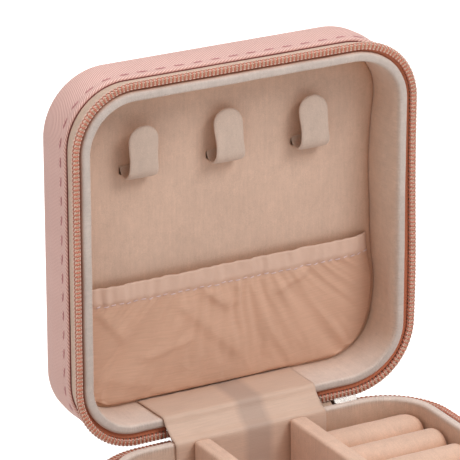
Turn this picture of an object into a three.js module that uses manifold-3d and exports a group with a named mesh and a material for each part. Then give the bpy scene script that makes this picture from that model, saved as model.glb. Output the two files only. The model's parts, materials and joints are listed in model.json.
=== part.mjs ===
// Zip-around travel jewellery case. A square, round-cornered base and lid of leather-covered
// board fold on a leather spine at the back, and a zip runs around the other three sides.
// Millimetres. X is to the right, Y to the back, Z up; the origin is the middle of the underside.
// The case is drawn closed, and groups then turn the lid and the zip's joined end to the rest pose.
import * as THREE from 'three';
import { mergeVertices } from 'three/addons/utils/BufferGeometryUtils.js';
import Module from 'manifold-3d';

const wasm = await Module();
wasm.setup();

// ---------------------------------------------------------------- driving dimensions

const CASE_WIDTH = 100;
const CORNER_RADIUS = 17.5;
const BASE_HEIGHT = 30;
const LID_DEPTH = 20;
const LID_OPEN = THREE.MathUtils.degToRad(89);
const HINGE_Y = CASE_WIDTH / 2 + 0.4;
const HINGE_Z = BASE_HEIGHT;

const GAP = 0.2; // between neighbouring layers
const PARTING_GAP = 0.15; // from either half to the parting plane
const LEATHER = 1.1;
const LEATHER_EDGE = 6; // from the parting plane to the leather's edge
const EDGE_ROUND = 1.6; // outer edge between side and top
const BOARD = 1.4;
const BOARD_ROUND = 1;
const VELVET = 1.2;
const LIP_HEIGHT = 2.85;
const LIP_ROUND = 1.1;
const PANEL = 1.5;
const PANEL_FACE = 13.5; // depth of the lid's inner panel below the parting plane
const FLOOR_PAD = 1;
const FOAM_PAD = 1.9;

const TAPE = 0.4;
const TAPE_EDGE = 1.5;
const TAPE_TUCK = 4; // tape hidden under the leather
const COIL_PROUD = 0.3;
const COIL_WIDTH = 2;
const COIL_HEIGHT = 1.15;

const SPINE_WIDTH = 45;
const RIBBON_LEFT = -24.3;
const RIBBON_RIGHT = 21.8;
const RIBBON = 0.3;

// Each necklace hook's centre, how far it sits low, and how far its tip leans to the panel.
const HOOKS = {
  left: { x: -25.9, drop: 0.2, lean: -0.2 },
  centre: { x: -0.1, drop: 0.3, lean: 2 },
  right: { x: 25.7, drop: 0.9, lean: 1.8 },
};
const HOOK_WIDTH = 8.7;
const HOOK_THICK = 1.2;
const HOOK_BEND_HEIGHT = 73.6; // heights up the open lid, from the hinge side's outer face
const HOOK_TOP = 85.4;
const HOOK_BEND = 2.8; // radius of the bend between the hook's leg and its tab
const HOOK_LEG_DEPTH = 14;
const HOOK_WINDOW = { low: 70.7, high: 75.4, margin: 0.4 };

const POCKET_TOP = 41;
const HEM_BOTTOM = 35.5;
const POCKET_CLOTH = 1.2;
const POCKET_DEPTH = 2.4;
const HEM_SWELL = 0.8;
const ELASTIC = { height: 3.6, thickness: 0.5 };

const DIVIDER = 4.9;
const DIVIDER_TOP = 30;
const DIVIDER_LEFT_X = -16.8;
const DIVIDER_RIGHT_X = 12.5;

const ROLL_COUNT = 7;
const ROLL_WIDTH = 11.4;
const ROLL_PITCH = 11.8;
const ROLL_TOP = 26.6;
const FIRST_ROLL_Y = 37;
const RING_CARD = 1.1;

const TAIL_PIVOT = { y: 48.1, z: 27 }; // the zip's joined end swings about this line
const TAIL_END = 27.2;
const SLIDER = { start: 27.5, length: 7, travel: 3 };
const CROWN = { length: 5, rise: 2.2, wall: 0.8, halfWidth: 0.7 };
const PULL = { length: 18, width: 5, thickness: 0.7, bar: 0.8, window: 4.1, windowWidth: 2.2 };

// ---------------------------------------------------------------- derived dimensions

const HALF = CASE_WIDTH / 2;
const TAPE_INSET = LEATHER + GAP;
const BOARD_INSET = TAPE_INSET + TAPE + GAP;
const LIP_INSET = BOARD_INSET + GAP;
const LINING_INSET = BOARD_INSET + BOARD + GAP;
const WALL_INSET = LINING_INSET + VELVET;
const PANEL_INSET = WALL_INSET + GAP;
const ZIP_GAP = SPINE_WIDTH / 2 + 2 * GAP;

// A half is measured by depth from the parting plane: up into the lid, down into the base.
const LID = { side: 1, depth: LID_DEPTH, boardEnd: PANEL_FACE + PANEL + GAP + BOARD };
const BASE = { side: -1, depth: BASE_HEIGHT, boardEnd: BASE_HEIGHT - LEATHER - GAP };
const level = (half, depth) => BASE_HEIGHT + half.side * depth;
const FLOOR_TOP = level(BASE, BASE.boardEnd - BOARD - GAP - FLOOR_PAD);

// ---------------------------------------------------------------- materials

function paint(hex, roughness, metalness = 0) {
  return new THREE.MeshStandardMaterial({ color: hex, roughness, metalness });
}

const leather = paint(0xe3bdb7, 0.55);
const board = paint(0x9c8468, 0.9);
const foam = paint(0xe6e0d2, 0.95);
const velvet = paint(0xc0a594, 0.95);
const peachVelvet = paint(0xdfbca6, 0.95);
const satin = paint(0xcfa184, 0.6);
const tapeCloth = paint(0xc8916f, 0.9);
const roseGold = paint(0xcf8468, 0.35, 0.8);
const silver = paint(0xb9b7b4, 0.25, 1);
const elasticCloth = paint(0xe8e2dc, 0.9);

// ---------------------------------------------------------------- solids

function solidOf(geometry) {
  const bare = geometry.clone();
  bare.deleteAttribute('normal');
  bare.deleteAttribute('uv');
  const merged = mergeVertices(bare, 1e-5);
  return new wasm.Manifold(new wasm.Mesh({
    numProp: 3,
    vertProperties: merged.attributes.position.array,
    triVerts: Uint32Array.from(merged.index.array),
  }));
}

function geometryOf(solid) {
  const mesh = solid.getMesh();
  const geometry = new THREE.BufferGeometry();
  geometry.setAttribute('position', new THREE.BufferAttribute(mesh.vertProperties, mesh.numProp));
  geometry.setIndex(new THREE.BufferAttribute(mesh.triVerts, 1));
  return geometry;
}

function box(x0, x1, y0, y1, z0, z1) {
  const geometry = new THREE.BoxGeometry(x1 - x0, y1 - y0, z1 - z0);
  geometry.translate((x0 + x1) / 2, (y0 + y1) / 2, (z0 + z1) / 2);
  return solidOf(geometry);
}

function roundedSquare(inset) {
  const straight = HALF - CORNER_RADIUS;
  const radius = CORNER_RADIUS - inset;
  const corners = [[1, 1], [-1, 1], [-1, -1], [1, -1]];
  const shape = new THREE.Shape();
  corners.forEach(([sx, sy], quarter) => {
    const start = quarter * Math.PI / 2;
    shape.absarc(sx * straight, sy * straight, radius, start, start + Math.PI / 2);
  });
  shape.closePath();
  return shape;
}

// A slab with the case's outline, set in by inset, with both its edges rounded by round.
function slab(inset, zA, zB, round = 0) {
  const low = Math.min(zA, zB);
  const high = Math.max(zA, zB);
  const geometry = new THREE.ExtrudeGeometry(roundedSquare(inset), {
    depth: high - low - 2 * round,
    curveSegments: 4,
    bevelEnabled: round > 0,
    bevelThickness: round,
    bevelSize: round,
    bevelOffset: -round,
    bevelSegments: 3,
  });
  geometry.translate(0, 0, low + round);
  return solidOf(geometry);
}

// A wall that follows the outline between two insets and two depths of one half.
function ring(half, insetOut, insetIn, from, to, round = 0) {
  const outer = slab(insetOut, level(half, from), level(half, to), round);
  const inner = slab(insetIn, level(half, from - 1), level(half, to + 1));
  return outer.subtract(inner);
}

// Extrudes a shape drawn in Y and Z along X.
function alongX(shape, x0, x1, curveSegments = 6) {
  const settings = { depth: x1 - x0, bevelEnabled: false, curveSegments };
  const geometry = new THREE.ExtrudeGeometry(shape, settings);
  const [x, y, z] = [[1, 0, 0], [0, 1, 0], [0, 0, 1]].map((axis) => new THREE.Vector3(...axis));
  geometry.applyMatrix4(new THREE.Matrix4().makeBasis(y, z, x));
  geometry.translate(x0, 0, 0);
  return solidOf(geometry);
}

// The outline of a bent strip of even thickness whose middle follows a path.
function strip(path, thickness, divisions = 5) {
  const points = path.getPoints(divisions);
  const left = [];
  const right = [];
  points.forEach((point, i) => {
    const before = points[Math.max(i - 1, 0)];
    const after = points[Math.min(i + 1, points.length - 1)];
    const along = after.clone().sub(before).normalize();
    const across = new THREE.Vector2(-along.y, along.x).multiplyScalar(thickness / 2);
    left.push(point.clone().add(across));
    right.unshift(point.clone().sub(across));
  });
  return new THREE.Shape([...right, ...left]);
}

// Where a point of the closed lid, given by inset from its back face and by depth, stands at rest.
function restLidPoint(inset, depth) {
  const turn = -LID_OPEN;
  const y = HALF - inset - HINGE_Y;
  const z = depth;
  return new THREE.Vector2(
    HINGE_Y + y * Math.cos(turn) - z * Math.sin(turn),
    HINGE_Z + y * Math.sin(turn) + z * Math.cos(turn),
  );
}

// ---------------------------------------------------------------- pieces of both halves

function coverOf(half) {
  const far = level(half, -2 * EDGE_ROUND);
  const outer = slab(0, far, level(half, half.depth), EDGE_ROUND);
  const inner = slab(LEATHER, far, level(half, half.depth - LEATHER), EDGE_ROUND - LEATHER);
  const kept = slab(-1, level(half, LEATHER_EDGE), level(half, half.depth + 1));
  return outer.subtract(inner).intersect(kept);
}

function boardOf(half) {
  const rim = LIP_HEIGHT + PARTING_GAP + GAP;
  const far = level(half, -2 * BOARD_ROUND);
  const outer = slab(BOARD_INSET, far, level(half, half.boardEnd), BOARD_ROUND);
  const inner = slab(BOARD_INSET + BOARD, far, level(half, half.boardEnd - BOARD));
  const kept = slab(0, level(half, rim), level(half, half.boardEnd + 1));
  return outer.subtract(inner).intersect(kept);
}

function liningOf(half) {
  const end = half.boardEnd - BOARD - GAP;
  const wall = ring(half, LINING_INSET, WALL_INSET, PARTING_GAP + LIP_ROUND, end);
  const lipEnd = PARTING_GAP + LIP_HEIGHT;
  return wall.add(ring(half, LIP_INSET, WALL_INSET, PARTING_GAP, lipEnd, LIP_ROUND));
}

// The zip leaves the middle of the back to the spine.
function tapeOf(half) {
  const whole = ring(half, TAPE_INSET, TAPE_INSET + TAPE, TAPE_EDGE, LEATHER_EDGE + TAPE_TUCK);
  return whole.subtract(box(-ZIP_GAP, ZIP_GAP, 0, CASE_WIDTH, 0, CASE_WIDTH));
}

// On the right the coil stops short, to leave the slider its run.
function coilOf(half) {
  const end = PARTING_GAP + COIL_HEIGHT;
  const whole = ring(half, -COIL_PROUD, COIL_WIDTH - COIL_PROUD, PARTING_GAP, end);
  const sliderRun = SLIDER.start + SLIDER.length + SLIDER.travel + 2 * GAP;
  return whole.subtract(box(-ZIP_GAP, sliderRun, 0, CASE_WIDTH, 0, CASE_WIDTH));
}

// ---------------------------------------------------------------- inside the lid

const backFace = (height) => HALF - height; // Y of a height up the open lid

function lidPanel() {
  const end = PANEL_FACE + PANEL;
  const plain = slab(PANEL_INSET, level(LID, PANEL_FACE), level(LID, end));
  const { low, high, margin } = HOOK_WINDOW;
  const reach = HOOK_WIDTH / 2 + margin;
  return Object.values(HOOKS).reduce((panel, { x, drop }) => {
    const [y0, y1] = [backFace(high - drop), backFace(low - drop)];
    return panel.subtract(box(x - reach, x + reach, y0, y1, HALF - 8, HALF));
  }, plain);
}

// A tab bent from one strip: its leg is set into a window in the panel, it bends forward below the
// window, and its front stands up free.
function necklaceHook({ x, drop, lean }) {
  const bendY = backFace(HOOK_BEND_HEIGHT - drop);
  const leg = level(LID, HOOK_LEG_DEPTH);
  const tab = level(LID, HOOK_LEG_DEPTH - 2 * HOOK_BEND);
  const bend = new THREE.Path();
  bend.moveTo(backFace(HOOK_WINDOW.high - drop - 0.4), leg);
  bend.lineTo(bendY, leg);
  bend.absarc(bendY, leg - HOOK_BEND, HOOK_BEND, Math.PI / 2, -Math.PI / 2, true);
  bend.lineTo(backFace(HOOK_TOP - drop), tab + lean);
  const bent = alongX(strip(bend, HOOK_THICK), x - HOOK_WIDTH / 2, x + HOOK_WIDTH / 2);

  const round = 3.4;
  const side = HOOK_WIDTH / 2;
  const top = backFace(HOOK_TOP - drop);
  const front = new THREE.Shape();
  front.moveTo(x + side, 0);
  front.lineTo(x - side, 0);
  front.absarc(x - side + round, top + round, round, Math.PI, 1.5 * Math.PI);
  front.absarc(x + side - round, top + round, round, 1.5 * Math.PI, 2 * Math.PI);
  front.closePath();
  const settings = { depth: LID_DEPTH, bevelEnabled: false, curveSegments: 3 };
  const cutter = new THREE.ExtrudeGeometry(front, settings);
  cutter.translate(0, 0, BASE_HEIGHT);
  return bent.intersect(solidOf(cutter));
}

const HEM_FRONT = PANEL_FACE - GAP - POCKET_DEPTH - HEM_SWELL;

function elasticBox(margin) {
  const middle = backFace((POCKET_TOP + HEM_BOTTOM) / 2);
  const depth = HEM_FRONT + (POCKET_CLOTH + HEM_SWELL) / 2;
  const halfHeight = ELASTIC.height / 2 + margin;
  const halfThick = ELASTIC.thickness / 2 + margin / 2;
  const reach = HALF - PANEL_INSET - 1 + 10 * margin;
  return box(
    -reach, reach,
    middle - halfHeight, middle + halfHeight,
    level(LID, depth - halfThick), level(LID, depth + halfThick),
  );
}

// A sheet sewn to the panel along its sides and foot, open at the top, with a hem for the elastic.
function pocket() {
  const inset = PANEL_INSET + 0.5;
  const back = level(LID, PANEL_FACE - GAP);
  const sheetFront = PANEL_FACE - GAP - POCKET_DEPTH;
  const below = (height) => box(-HALF, HALF, backFace(height), HALF, BASE_HEIGHT, CASE_WIDTH);
  const sheet = slab(inset, level(LID, sheetFront), back).intersect(below(POCKET_TOP));
  const hemBox = below(POCKET_TOP).subtract(below(HEM_BOTTOM));
  const hem = slab(inset, level(LID, HEM_FRONT), back).intersect(hemBox);
  const inside = slab(inset + POCKET_CLOTH, level(LID, sheetFront + POCKET_CLOTH), back + 1);
  return sheet.add(hem).subtract(inside).subtract(elasticBox(2 * GAP));
}

// ---------------------------------------------------------------- inside the base

function divider(x) {
  const front = -(HALF - PANEL_INSET);
  const back = HALF - PANEL_INSET - 3 * GAP;
  return box(x - DIVIDER / 2, x + DIVIDER / 2, front, back, FLOOR_TOP + GAP, DIVIDER_TOP);
}

const RING_LEFT = DIVIDER_RIGHT_X + DIVIDER / 2 + 2 * GAP;
const RING_BACK = HALF - PANEL_INSET - 3 * GAP;
const CARD_TOP = FLOOR_TOP + GAP + RING_CARD;

function ringCard() {
  const area = box(RING_LEFT, HALF, -HALF, RING_BACK, 0, BASE_HEIGHT);
  return slab(PANEL_INSET, FLOOR_TOP + GAP, CARD_TOP).intersect(area);
}

// An upright foam strip with a round top; rings are pressed between two of them.
function ringRoll(y) {
  const radius = ROLL_WIDTH / 2;
  const profile = new THREE.Shape();
  profile.moveTo(y - radius, CARD_TOP + GAP);
  profile.lineTo(y + radius, CARD_TOP + GAP);
  profile.absarc(y, ROLL_TOP - radius, radius, 0, Math.PI);
  profile.closePath();
  return alongX(profile, RING_LEFT, HALF).intersect(slab(PANEL_INSET, 0, BASE_HEIGHT));
}

// ---------------------------------------------------------------- across the hinge, at rest

function hingeSpine() {
  const inset = TAPE_INSET + TAPE / 2;
  const tuckEnd = LEATHER_EDGE + TAPE_TUCK;
  const lidEdge = restLidPoint(inset, LEATHER_EDGE + GAP);
  const lidEnd = restLidPoint(inset, tuckEnd);
  const bend = new THREE.Path();
  bend.moveTo(HALF - inset, level(BASE, tuckEnd));
  bend.lineTo(HALF - inset, level(BASE, LEATHER_EDGE - GAP));
  bend.bezierCurveTo(
    HALF - inset + 1, level(BASE, 1.6),
    lidEdge.x - 2.4, lidEdge.y - 1,
    lidEdge.x, lidEdge.y,
  );
  bend.lineTo(lidEnd.x, lidEnd.y);
  return alongX(strip(bend, TAPE), -SPINE_WIDTH / 2, SPINE_WIDTH / 2);
}

// It lies on both lips, and turns over each lip's inner edge with a small radius.
function hingeRibbon() {
  const inset = PANEL_INSET + RIBBON / 2;
  const wallY = HALF - inset;
  const proud = -RIBBON;
  const turn = 0.6;
  const lidStart = restLidPoint(LIP_INSET + 1.2, proud);
  const lidTurn = restLidPoint(inset - turn, proud);
  const lidCorner = restLidPoint(inset, proud);
  const lidWall = restLidPoint(inset, proud + turn);
  const lidEnd = restLidPoint(inset, PANEL_FACE - 2 * GAP);
  const bend = new THREE.Path();
  bend.moveTo(wallY, FLOOR_TOP + GAP);
  bend.lineTo(wallY, level(BASE, proud + turn));
  bend.quadraticCurveTo(wallY, level(BASE, proud), wallY + turn, level(BASE, proud));
  bend.lineTo(HALF - LIP_INSET - 1.2, level(BASE, proud));
  bend.lineTo(lidStart.x, lidStart.y);
  bend.lineTo(lidTurn.x, lidTurn.y);
  bend.quadraticCurveTo(lidCorner.x, lidCorner.y, lidWall.x, lidWall.y);
  bend.lineTo(lidEnd.x, lidEnd.y);
  return alongX(strip(bend, RIBBON), RIBBON_LEFT, RIBBON_RIGHT);
}

// ---------------------------------------------------------------- slider, drawn on the closed zip

const ZIP_MIDDLE_Y = HALF - COIL_WIDTH / 2 + COIL_PROUD + 0.3;
const PLATE_BACK = ZIP_MIDDLE_Y + 1.9;
const PULL_AXIS = {
  x: SLIDER.start + SLIDER.length / 2,
  y: PLATE_BACK + CROWN.rise / 2 - 0.4,
};

function zipTail() {
  const halfThick = 0.7;
  const [front, back] = [ZIP_MIDDLE_Y - halfThick, ZIP_MIDDLE_Y + halfThick];
  return box(ZIP_GAP, TAIL_END, front, back, BASE_HEIGHT - 1.2, BASE_HEIGHT + 1.2);
}

function plate(halfWidth, y0, y1, round) {
  const end = SLIDER.start + SLIDER.length;
  const shape = new THREE.Shape();
  shape.absarc(end - round, halfWidth - round, round, 0, Math.PI / 2);
  shape.lineTo(SLIDER.start + round, halfWidth * 0.8);
  shape.lineTo(SLIDER.start, halfWidth * 0.5);
  shape.lineTo(SLIDER.start, -halfWidth * 0.5);
  shape.lineTo(SLIDER.start + round, -halfWidth * 0.8);
  shape.absarc(end - round, round - halfWidth, round, 1.5 * Math.PI, 2 * Math.PI);
  shape.closePath();
  return flatPiece(shape, y0, y1);
}

// Extrudes a shape drawn in X and Z, about the parting plane, between two values of Y.
function flatPiece(shape, y0, y1) {
  const settings = { depth: y1 - y0, bevelEnabled: false, curveSegments: 3 };
  const geometry = new THREE.ExtrudeGeometry(shape, settings);
  geometry.rotateX(Math.PI / 2);
  geometry.translate(0, y1, BASE_HEIGHT);
  return solidOf(geometry);
}

function zipperSlider() {
  const inner = plate(1.2, ZIP_MIDDLE_Y - 1.4, ZIP_MIDDLE_Y - 0.9, 0.6);
  const outer = plate(2.2, ZIP_MIDDLE_Y + 0.9, PLATE_BACK, 1.2);
  const nose = SLIDER.start + SLIDER.length - 0.6;
  const overlap = 0.2;
  const post = box(
    nose - 1.6, nose,
    ZIP_MIDDLE_Y - 0.9 - overlap, ZIP_MIDDLE_Y + 0.9 + overlap,
    BASE_HEIGHT - 0.6, BASE_HEIGHT + 0.6,
  );
  const { length, rise, wall, halfWidth } = CROWN;
  const [low, high] = [BASE_HEIGHT - halfWidth, BASE_HEIGHT + halfWidth];
  const left = PULL_AXIS.x - length / 2;
  const right = PULL_AXIS.x + length / 2;
  const arch = box(left, right, PLATE_BACK - overlap, PLATE_BACK + rise, low, high);
  const archTop = PLATE_BACK + rise - wall;
  const opening = box(left + wall, right - wall, PLATE_BACK, archTop, low - 1, high + 1);
  return inner.add(outer).add(post).add(arch.subtract(opening));
}

// A tab whose end bar passes under the slider's crown; it lies along the spine.
function zipperPull() {
  const { length, width, thickness, bar, window, windowWidth } = PULL;
  const head = PULL_AXIS.x + bar / 2;
  const tip = PULL_AXIS.x - length;
  const neck = windowWidth / 2 + 1;
  const shape = new THREE.Shape();
  shape.moveTo(head, neck);
  shape.lineTo(head - bar - window, neck);
  shape.lineTo(head - bar - window - 2, width / 2);
  shape.absarc(tip + width / 2, 0, width / 2, Math.PI / 2, 1.5 * Math.PI);
  shape.lineTo(head - bar - window - 2, -width / 2);
  shape.lineTo(head - bar - window, -neck);
  shape.lineTo(head, -neck);
  shape.closePath();
  const hole = new THREE.Path();
  hole.moveTo(head - bar, windowWidth / 2);
  hole.lineTo(head - bar, -windowWidth / 2);
  hole.lineTo(head - bar - window, -windowWidth / 2);
  hole.lineTo(head - bar - window, windowWidth / 2);
  hole.closePath();
  shape.holes.push(hole);
  return flatPiece(shape, PULL_AXIS.y - thickness / 2, PULL_AXIS.y + thickness / 2);
}

// ---------------------------------------------------------------- assembly

// A group that turns its closed-case contents about a line along X through (y, z).
function turned(y, z, angle) {
  const outer = new THREE.Group();
  outer.position.set(0, y, z);
  outer.rotation.x = -angle;
  const inner = new THREE.Group();
  inner.position.set(0, -y, -z);
  outer.add(inner);
  return { outer, inner };
}

function add(parent, name, solid, material) {
  const mesh = new THREE.Mesh(geometryOf(solid), material);
  mesh.name = name;
  parent.add(mesh);
}

function addHalf(parent, prefix, half) {
  add(parent, `${prefix}_cover`, coverOf(half), leather);
  add(parent, `${prefix}_board`, boardOf(half), board);
  add(parent, `${prefix}_lining`, liningOf(half), velvet);
  add(parent, `${prefix}_zip_tape`, tapeOf(half), tapeCloth);
  add(parent, `${prefix}_zip_coil`, coilOf(half), roseGold);
}

const group = new THREE.Group();

addHalf(group, 'base', BASE);
add(group, 'base_floor_pad', slab(PANEL_INSET, FLOOR_TOP - FLOOR_PAD, FLOOR_TOP), velvet);
add(group, 'ring_card', ringCard(), board);
for (let i = 0; i < ROLL_COUNT; i += 1) {
  add(group, `ring_roll_${i + 1}`, ringRoll(FIRST_ROLL_Y - i * ROLL_PITCH), peachVelvet);
}
add(group, 'divider_left', divider(DIVIDER_LEFT_X), peachVelvet);
add(group, 'divider_right', divider(DIVIDER_RIGHT_X), peachVelvet);
add(group, 'hinge_spine', hingeSpine(), leather);
add(group, 'hinge_ribbon', hingeRibbon(), satin);

const lid = turned(HINGE_Y, HINGE_Z, LID_OPEN);
group.add(lid.outer);
addHalf(lid.inner, 'lid', LID);
const foamFrom = LID.boardEnd + GAP;
const foamSolid = slab(LEATHER + 1.7, level(LID, foamFrom), level(LID, foamFrom + FOAM_PAD), 0.6);
add(lid.inner, 'lid_foam_pad', foamSolid, foam);
add(lid.inner, 'lid_panel', lidPanel(), velvet);
Object.entries(HOOKS).forEach(([side, settings]) => {
  add(lid.inner, `necklace_hook_${side}`, necklaceHook(settings), velvet);
});
add(lid.inner, 'pocket', pocket(), satin);
add(lid.inner, 'pocket_elastic', elasticBox(0), elasticCloth);

const tail = turned(TAIL_PIVOT.y, TAIL_PIVOT.z, LID_OPEN / 2);
group.add(tail.outer);
add(tail.inner, 'zip_tail', zipTail(), roseGold);
add(tail.inner, 'zipper_slider', zipperSlider(), silver);
add(tail.inner, 'zipper_pull', zipperPull(), silver);

export default group;
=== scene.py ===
"""Looks of a zip-around travel jewellery case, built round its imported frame.
Pieces are shaped in millimetres, mostly in a half's own measures (x, y and depth from the parting
plane), and become objects in metres at the open rest pose."""
import json
import math

import bmesh
import bpy
import numpy as np
from mathutils import Matrix, Vector, noise


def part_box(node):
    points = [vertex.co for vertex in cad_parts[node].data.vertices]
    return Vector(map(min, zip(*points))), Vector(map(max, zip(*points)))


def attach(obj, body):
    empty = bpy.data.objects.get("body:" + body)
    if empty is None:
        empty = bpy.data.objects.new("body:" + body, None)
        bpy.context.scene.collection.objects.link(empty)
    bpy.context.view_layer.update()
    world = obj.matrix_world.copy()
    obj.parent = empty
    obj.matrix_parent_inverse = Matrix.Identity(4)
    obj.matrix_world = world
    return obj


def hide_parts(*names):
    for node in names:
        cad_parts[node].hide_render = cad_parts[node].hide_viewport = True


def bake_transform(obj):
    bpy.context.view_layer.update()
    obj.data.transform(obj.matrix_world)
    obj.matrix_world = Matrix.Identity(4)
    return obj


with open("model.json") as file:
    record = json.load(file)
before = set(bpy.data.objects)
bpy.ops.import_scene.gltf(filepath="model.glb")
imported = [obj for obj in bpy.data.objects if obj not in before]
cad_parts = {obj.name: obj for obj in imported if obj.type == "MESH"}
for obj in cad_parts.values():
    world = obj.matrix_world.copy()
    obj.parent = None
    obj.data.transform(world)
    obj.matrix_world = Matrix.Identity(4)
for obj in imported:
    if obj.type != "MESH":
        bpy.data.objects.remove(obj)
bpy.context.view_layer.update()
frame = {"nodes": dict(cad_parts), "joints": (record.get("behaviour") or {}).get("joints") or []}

MM = 1000.0  # millimetres in a metre

# ---------------------------------------------------------------- measures taken from the frame

joints = {joint["name"]: joint for joint in frame["joints"]}
HINGE_Y, HINGE_Z = [MM * value for value in joints["lid_hinge"]["pos_m"][1:]]
LID_OPEN = math.radians(-joints["lid_hinge"]["range_deg"][0])
TAIL_Y, TAIL_Z = [MM * value for value in joints["zip_tail_swing"]["pos_m"][1:]]
TAIL_TURN = math.radians(-joints["zip_tail_swing"]["range_deg"][0])
PARTING = HINGE_Z


def node_points(node):
    """The corners of a CAD node at rest, in millimetres."""
    return MM * np.array([vertex.co for vertex in frame["nodes"][node].data.vertices])


def swing(points, angle, y, z):
    """Turns points about the line along X through y and z; a positive angle opens the case."""
    points = np.asarray(points, float)
    dy, dz = points[..., 1] - y, points[..., 2] - z
    c, s = math.cos(angle), math.sin(angle)
    return np.stack([points[..., 0], y + dy * c + dz * s, z - dy * s + dz * c], -1)


def closed_span(node, lid=True):
    """Lowest and highest x, y and depth from the parting plane of a node of one closed half."""
    points = node_points(node)
    if lid:
        points = swing(points, -LID_OPEN, HINGE_Y, HINGE_Z)
        points[:, 2] -= PARTING
    else:
        points[:, 2] = PARTING - points[:, 2]
    return points.min(0), points.max(0)


def tail_span(node):
    """Lowest and highest corner of a node of the zip's joined end, with the case closed."""
    points = swing(node_points(node), -TAIL_TURN, TAIL_Y, TAIL_Z)
    return points.min(0), points.max(0)


base_high = closed_span("base_cover", lid=False)[1]
lid_low, lid_high = closed_span("lid_cover")
lip_high = closed_span("lid_lining")[1]
panel_low, panel_high = closed_span("lid_panel")
floor_low, floor_high = closed_span("base_floor_pad", lid=False)
tape_high = closed_span("lid_zip_tape")[1]
coil_high = closed_span("lid_zip_coil")[1]

# the case's outline: a square with rounded corners
HALF = base_high[0]
CORNER = 17.5
STRAIGHT = HALF - CORNER
SIDE = 2 * STRAIGHT + CORNER * math.pi / 2
PERIMETER = 4 * SIDE

# insets are measured inward from that outline, depths from the parting plane
LEATHER_EDGE = lid_low[2]
LEATHER_THICK = 0.45
EDGE_ROUND = 1.6
LIP_INSET = HALF - lip_high[0]
PANEL_INSET = HALF - panel_high[0]
WALL_INSET = PANEL_INSET - 0.2
PANEL_FACE = panel_low[2]
FLOOR_DEPTH = floor_low[2]
TAPE_INSET = HALF - tape_high[0]
ZIP_GAP = 22.9  # half the width that the zip leaves to the spine
SPLAY = 1.2  # how far the soft right side stands out, growing over this span of x
SPLAY_SPAN = (27, 46)
# how the lid's soft right wall is pressed in (+) and out (-): amount, and middle and width in y
BOWS = ((1.45, 24.5, 8.5), (-0.75, -12, 12), (0.5, -31, 5))
TURNED_EDGE = LEATHER_EDGE + 0.45  # depth where the leather folds over the tape

STITCH_PITCH = 5.3
STITCH_LENGTH = 3.4
STITCH_DEPTH = LEATHER_EDGE + 2.85

TOOTH_PITCH = 1.14
BASE_ZIP_LEAN = 1.6  # how far the base's half of the zip hangs outward, and how far down
BASE_ZIP_DROP = 1.5
COIL_MIDDLE = (HALF - (coil_high[0] - 1.0) - 0.1, 0.92)  # inset and depth of the coil's axis
COIL_REACH = (0.72, 0.5)  # half the loop's extent in inset and depth, to the wire's middle
COIL_WIRE = 0.35
COIL_START = {"lid": ZIP_GAP + 0.3, "base": 34.5}  # the base's coil dips away under the slider


# ---------------------------------------------------------------- node graphs


def srgb(red, green, blue):
    """A colour from 0-255 values, as the linear RGBA that shaders take."""
    channels = [value / 255 for value in (red, green, blue)]
    linear = [v / 12.92 if v <= 0.04045 else ((v + 0.055) / 1.055) ** 2.4 for v in channels]
    return (*linear, 1)


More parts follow.
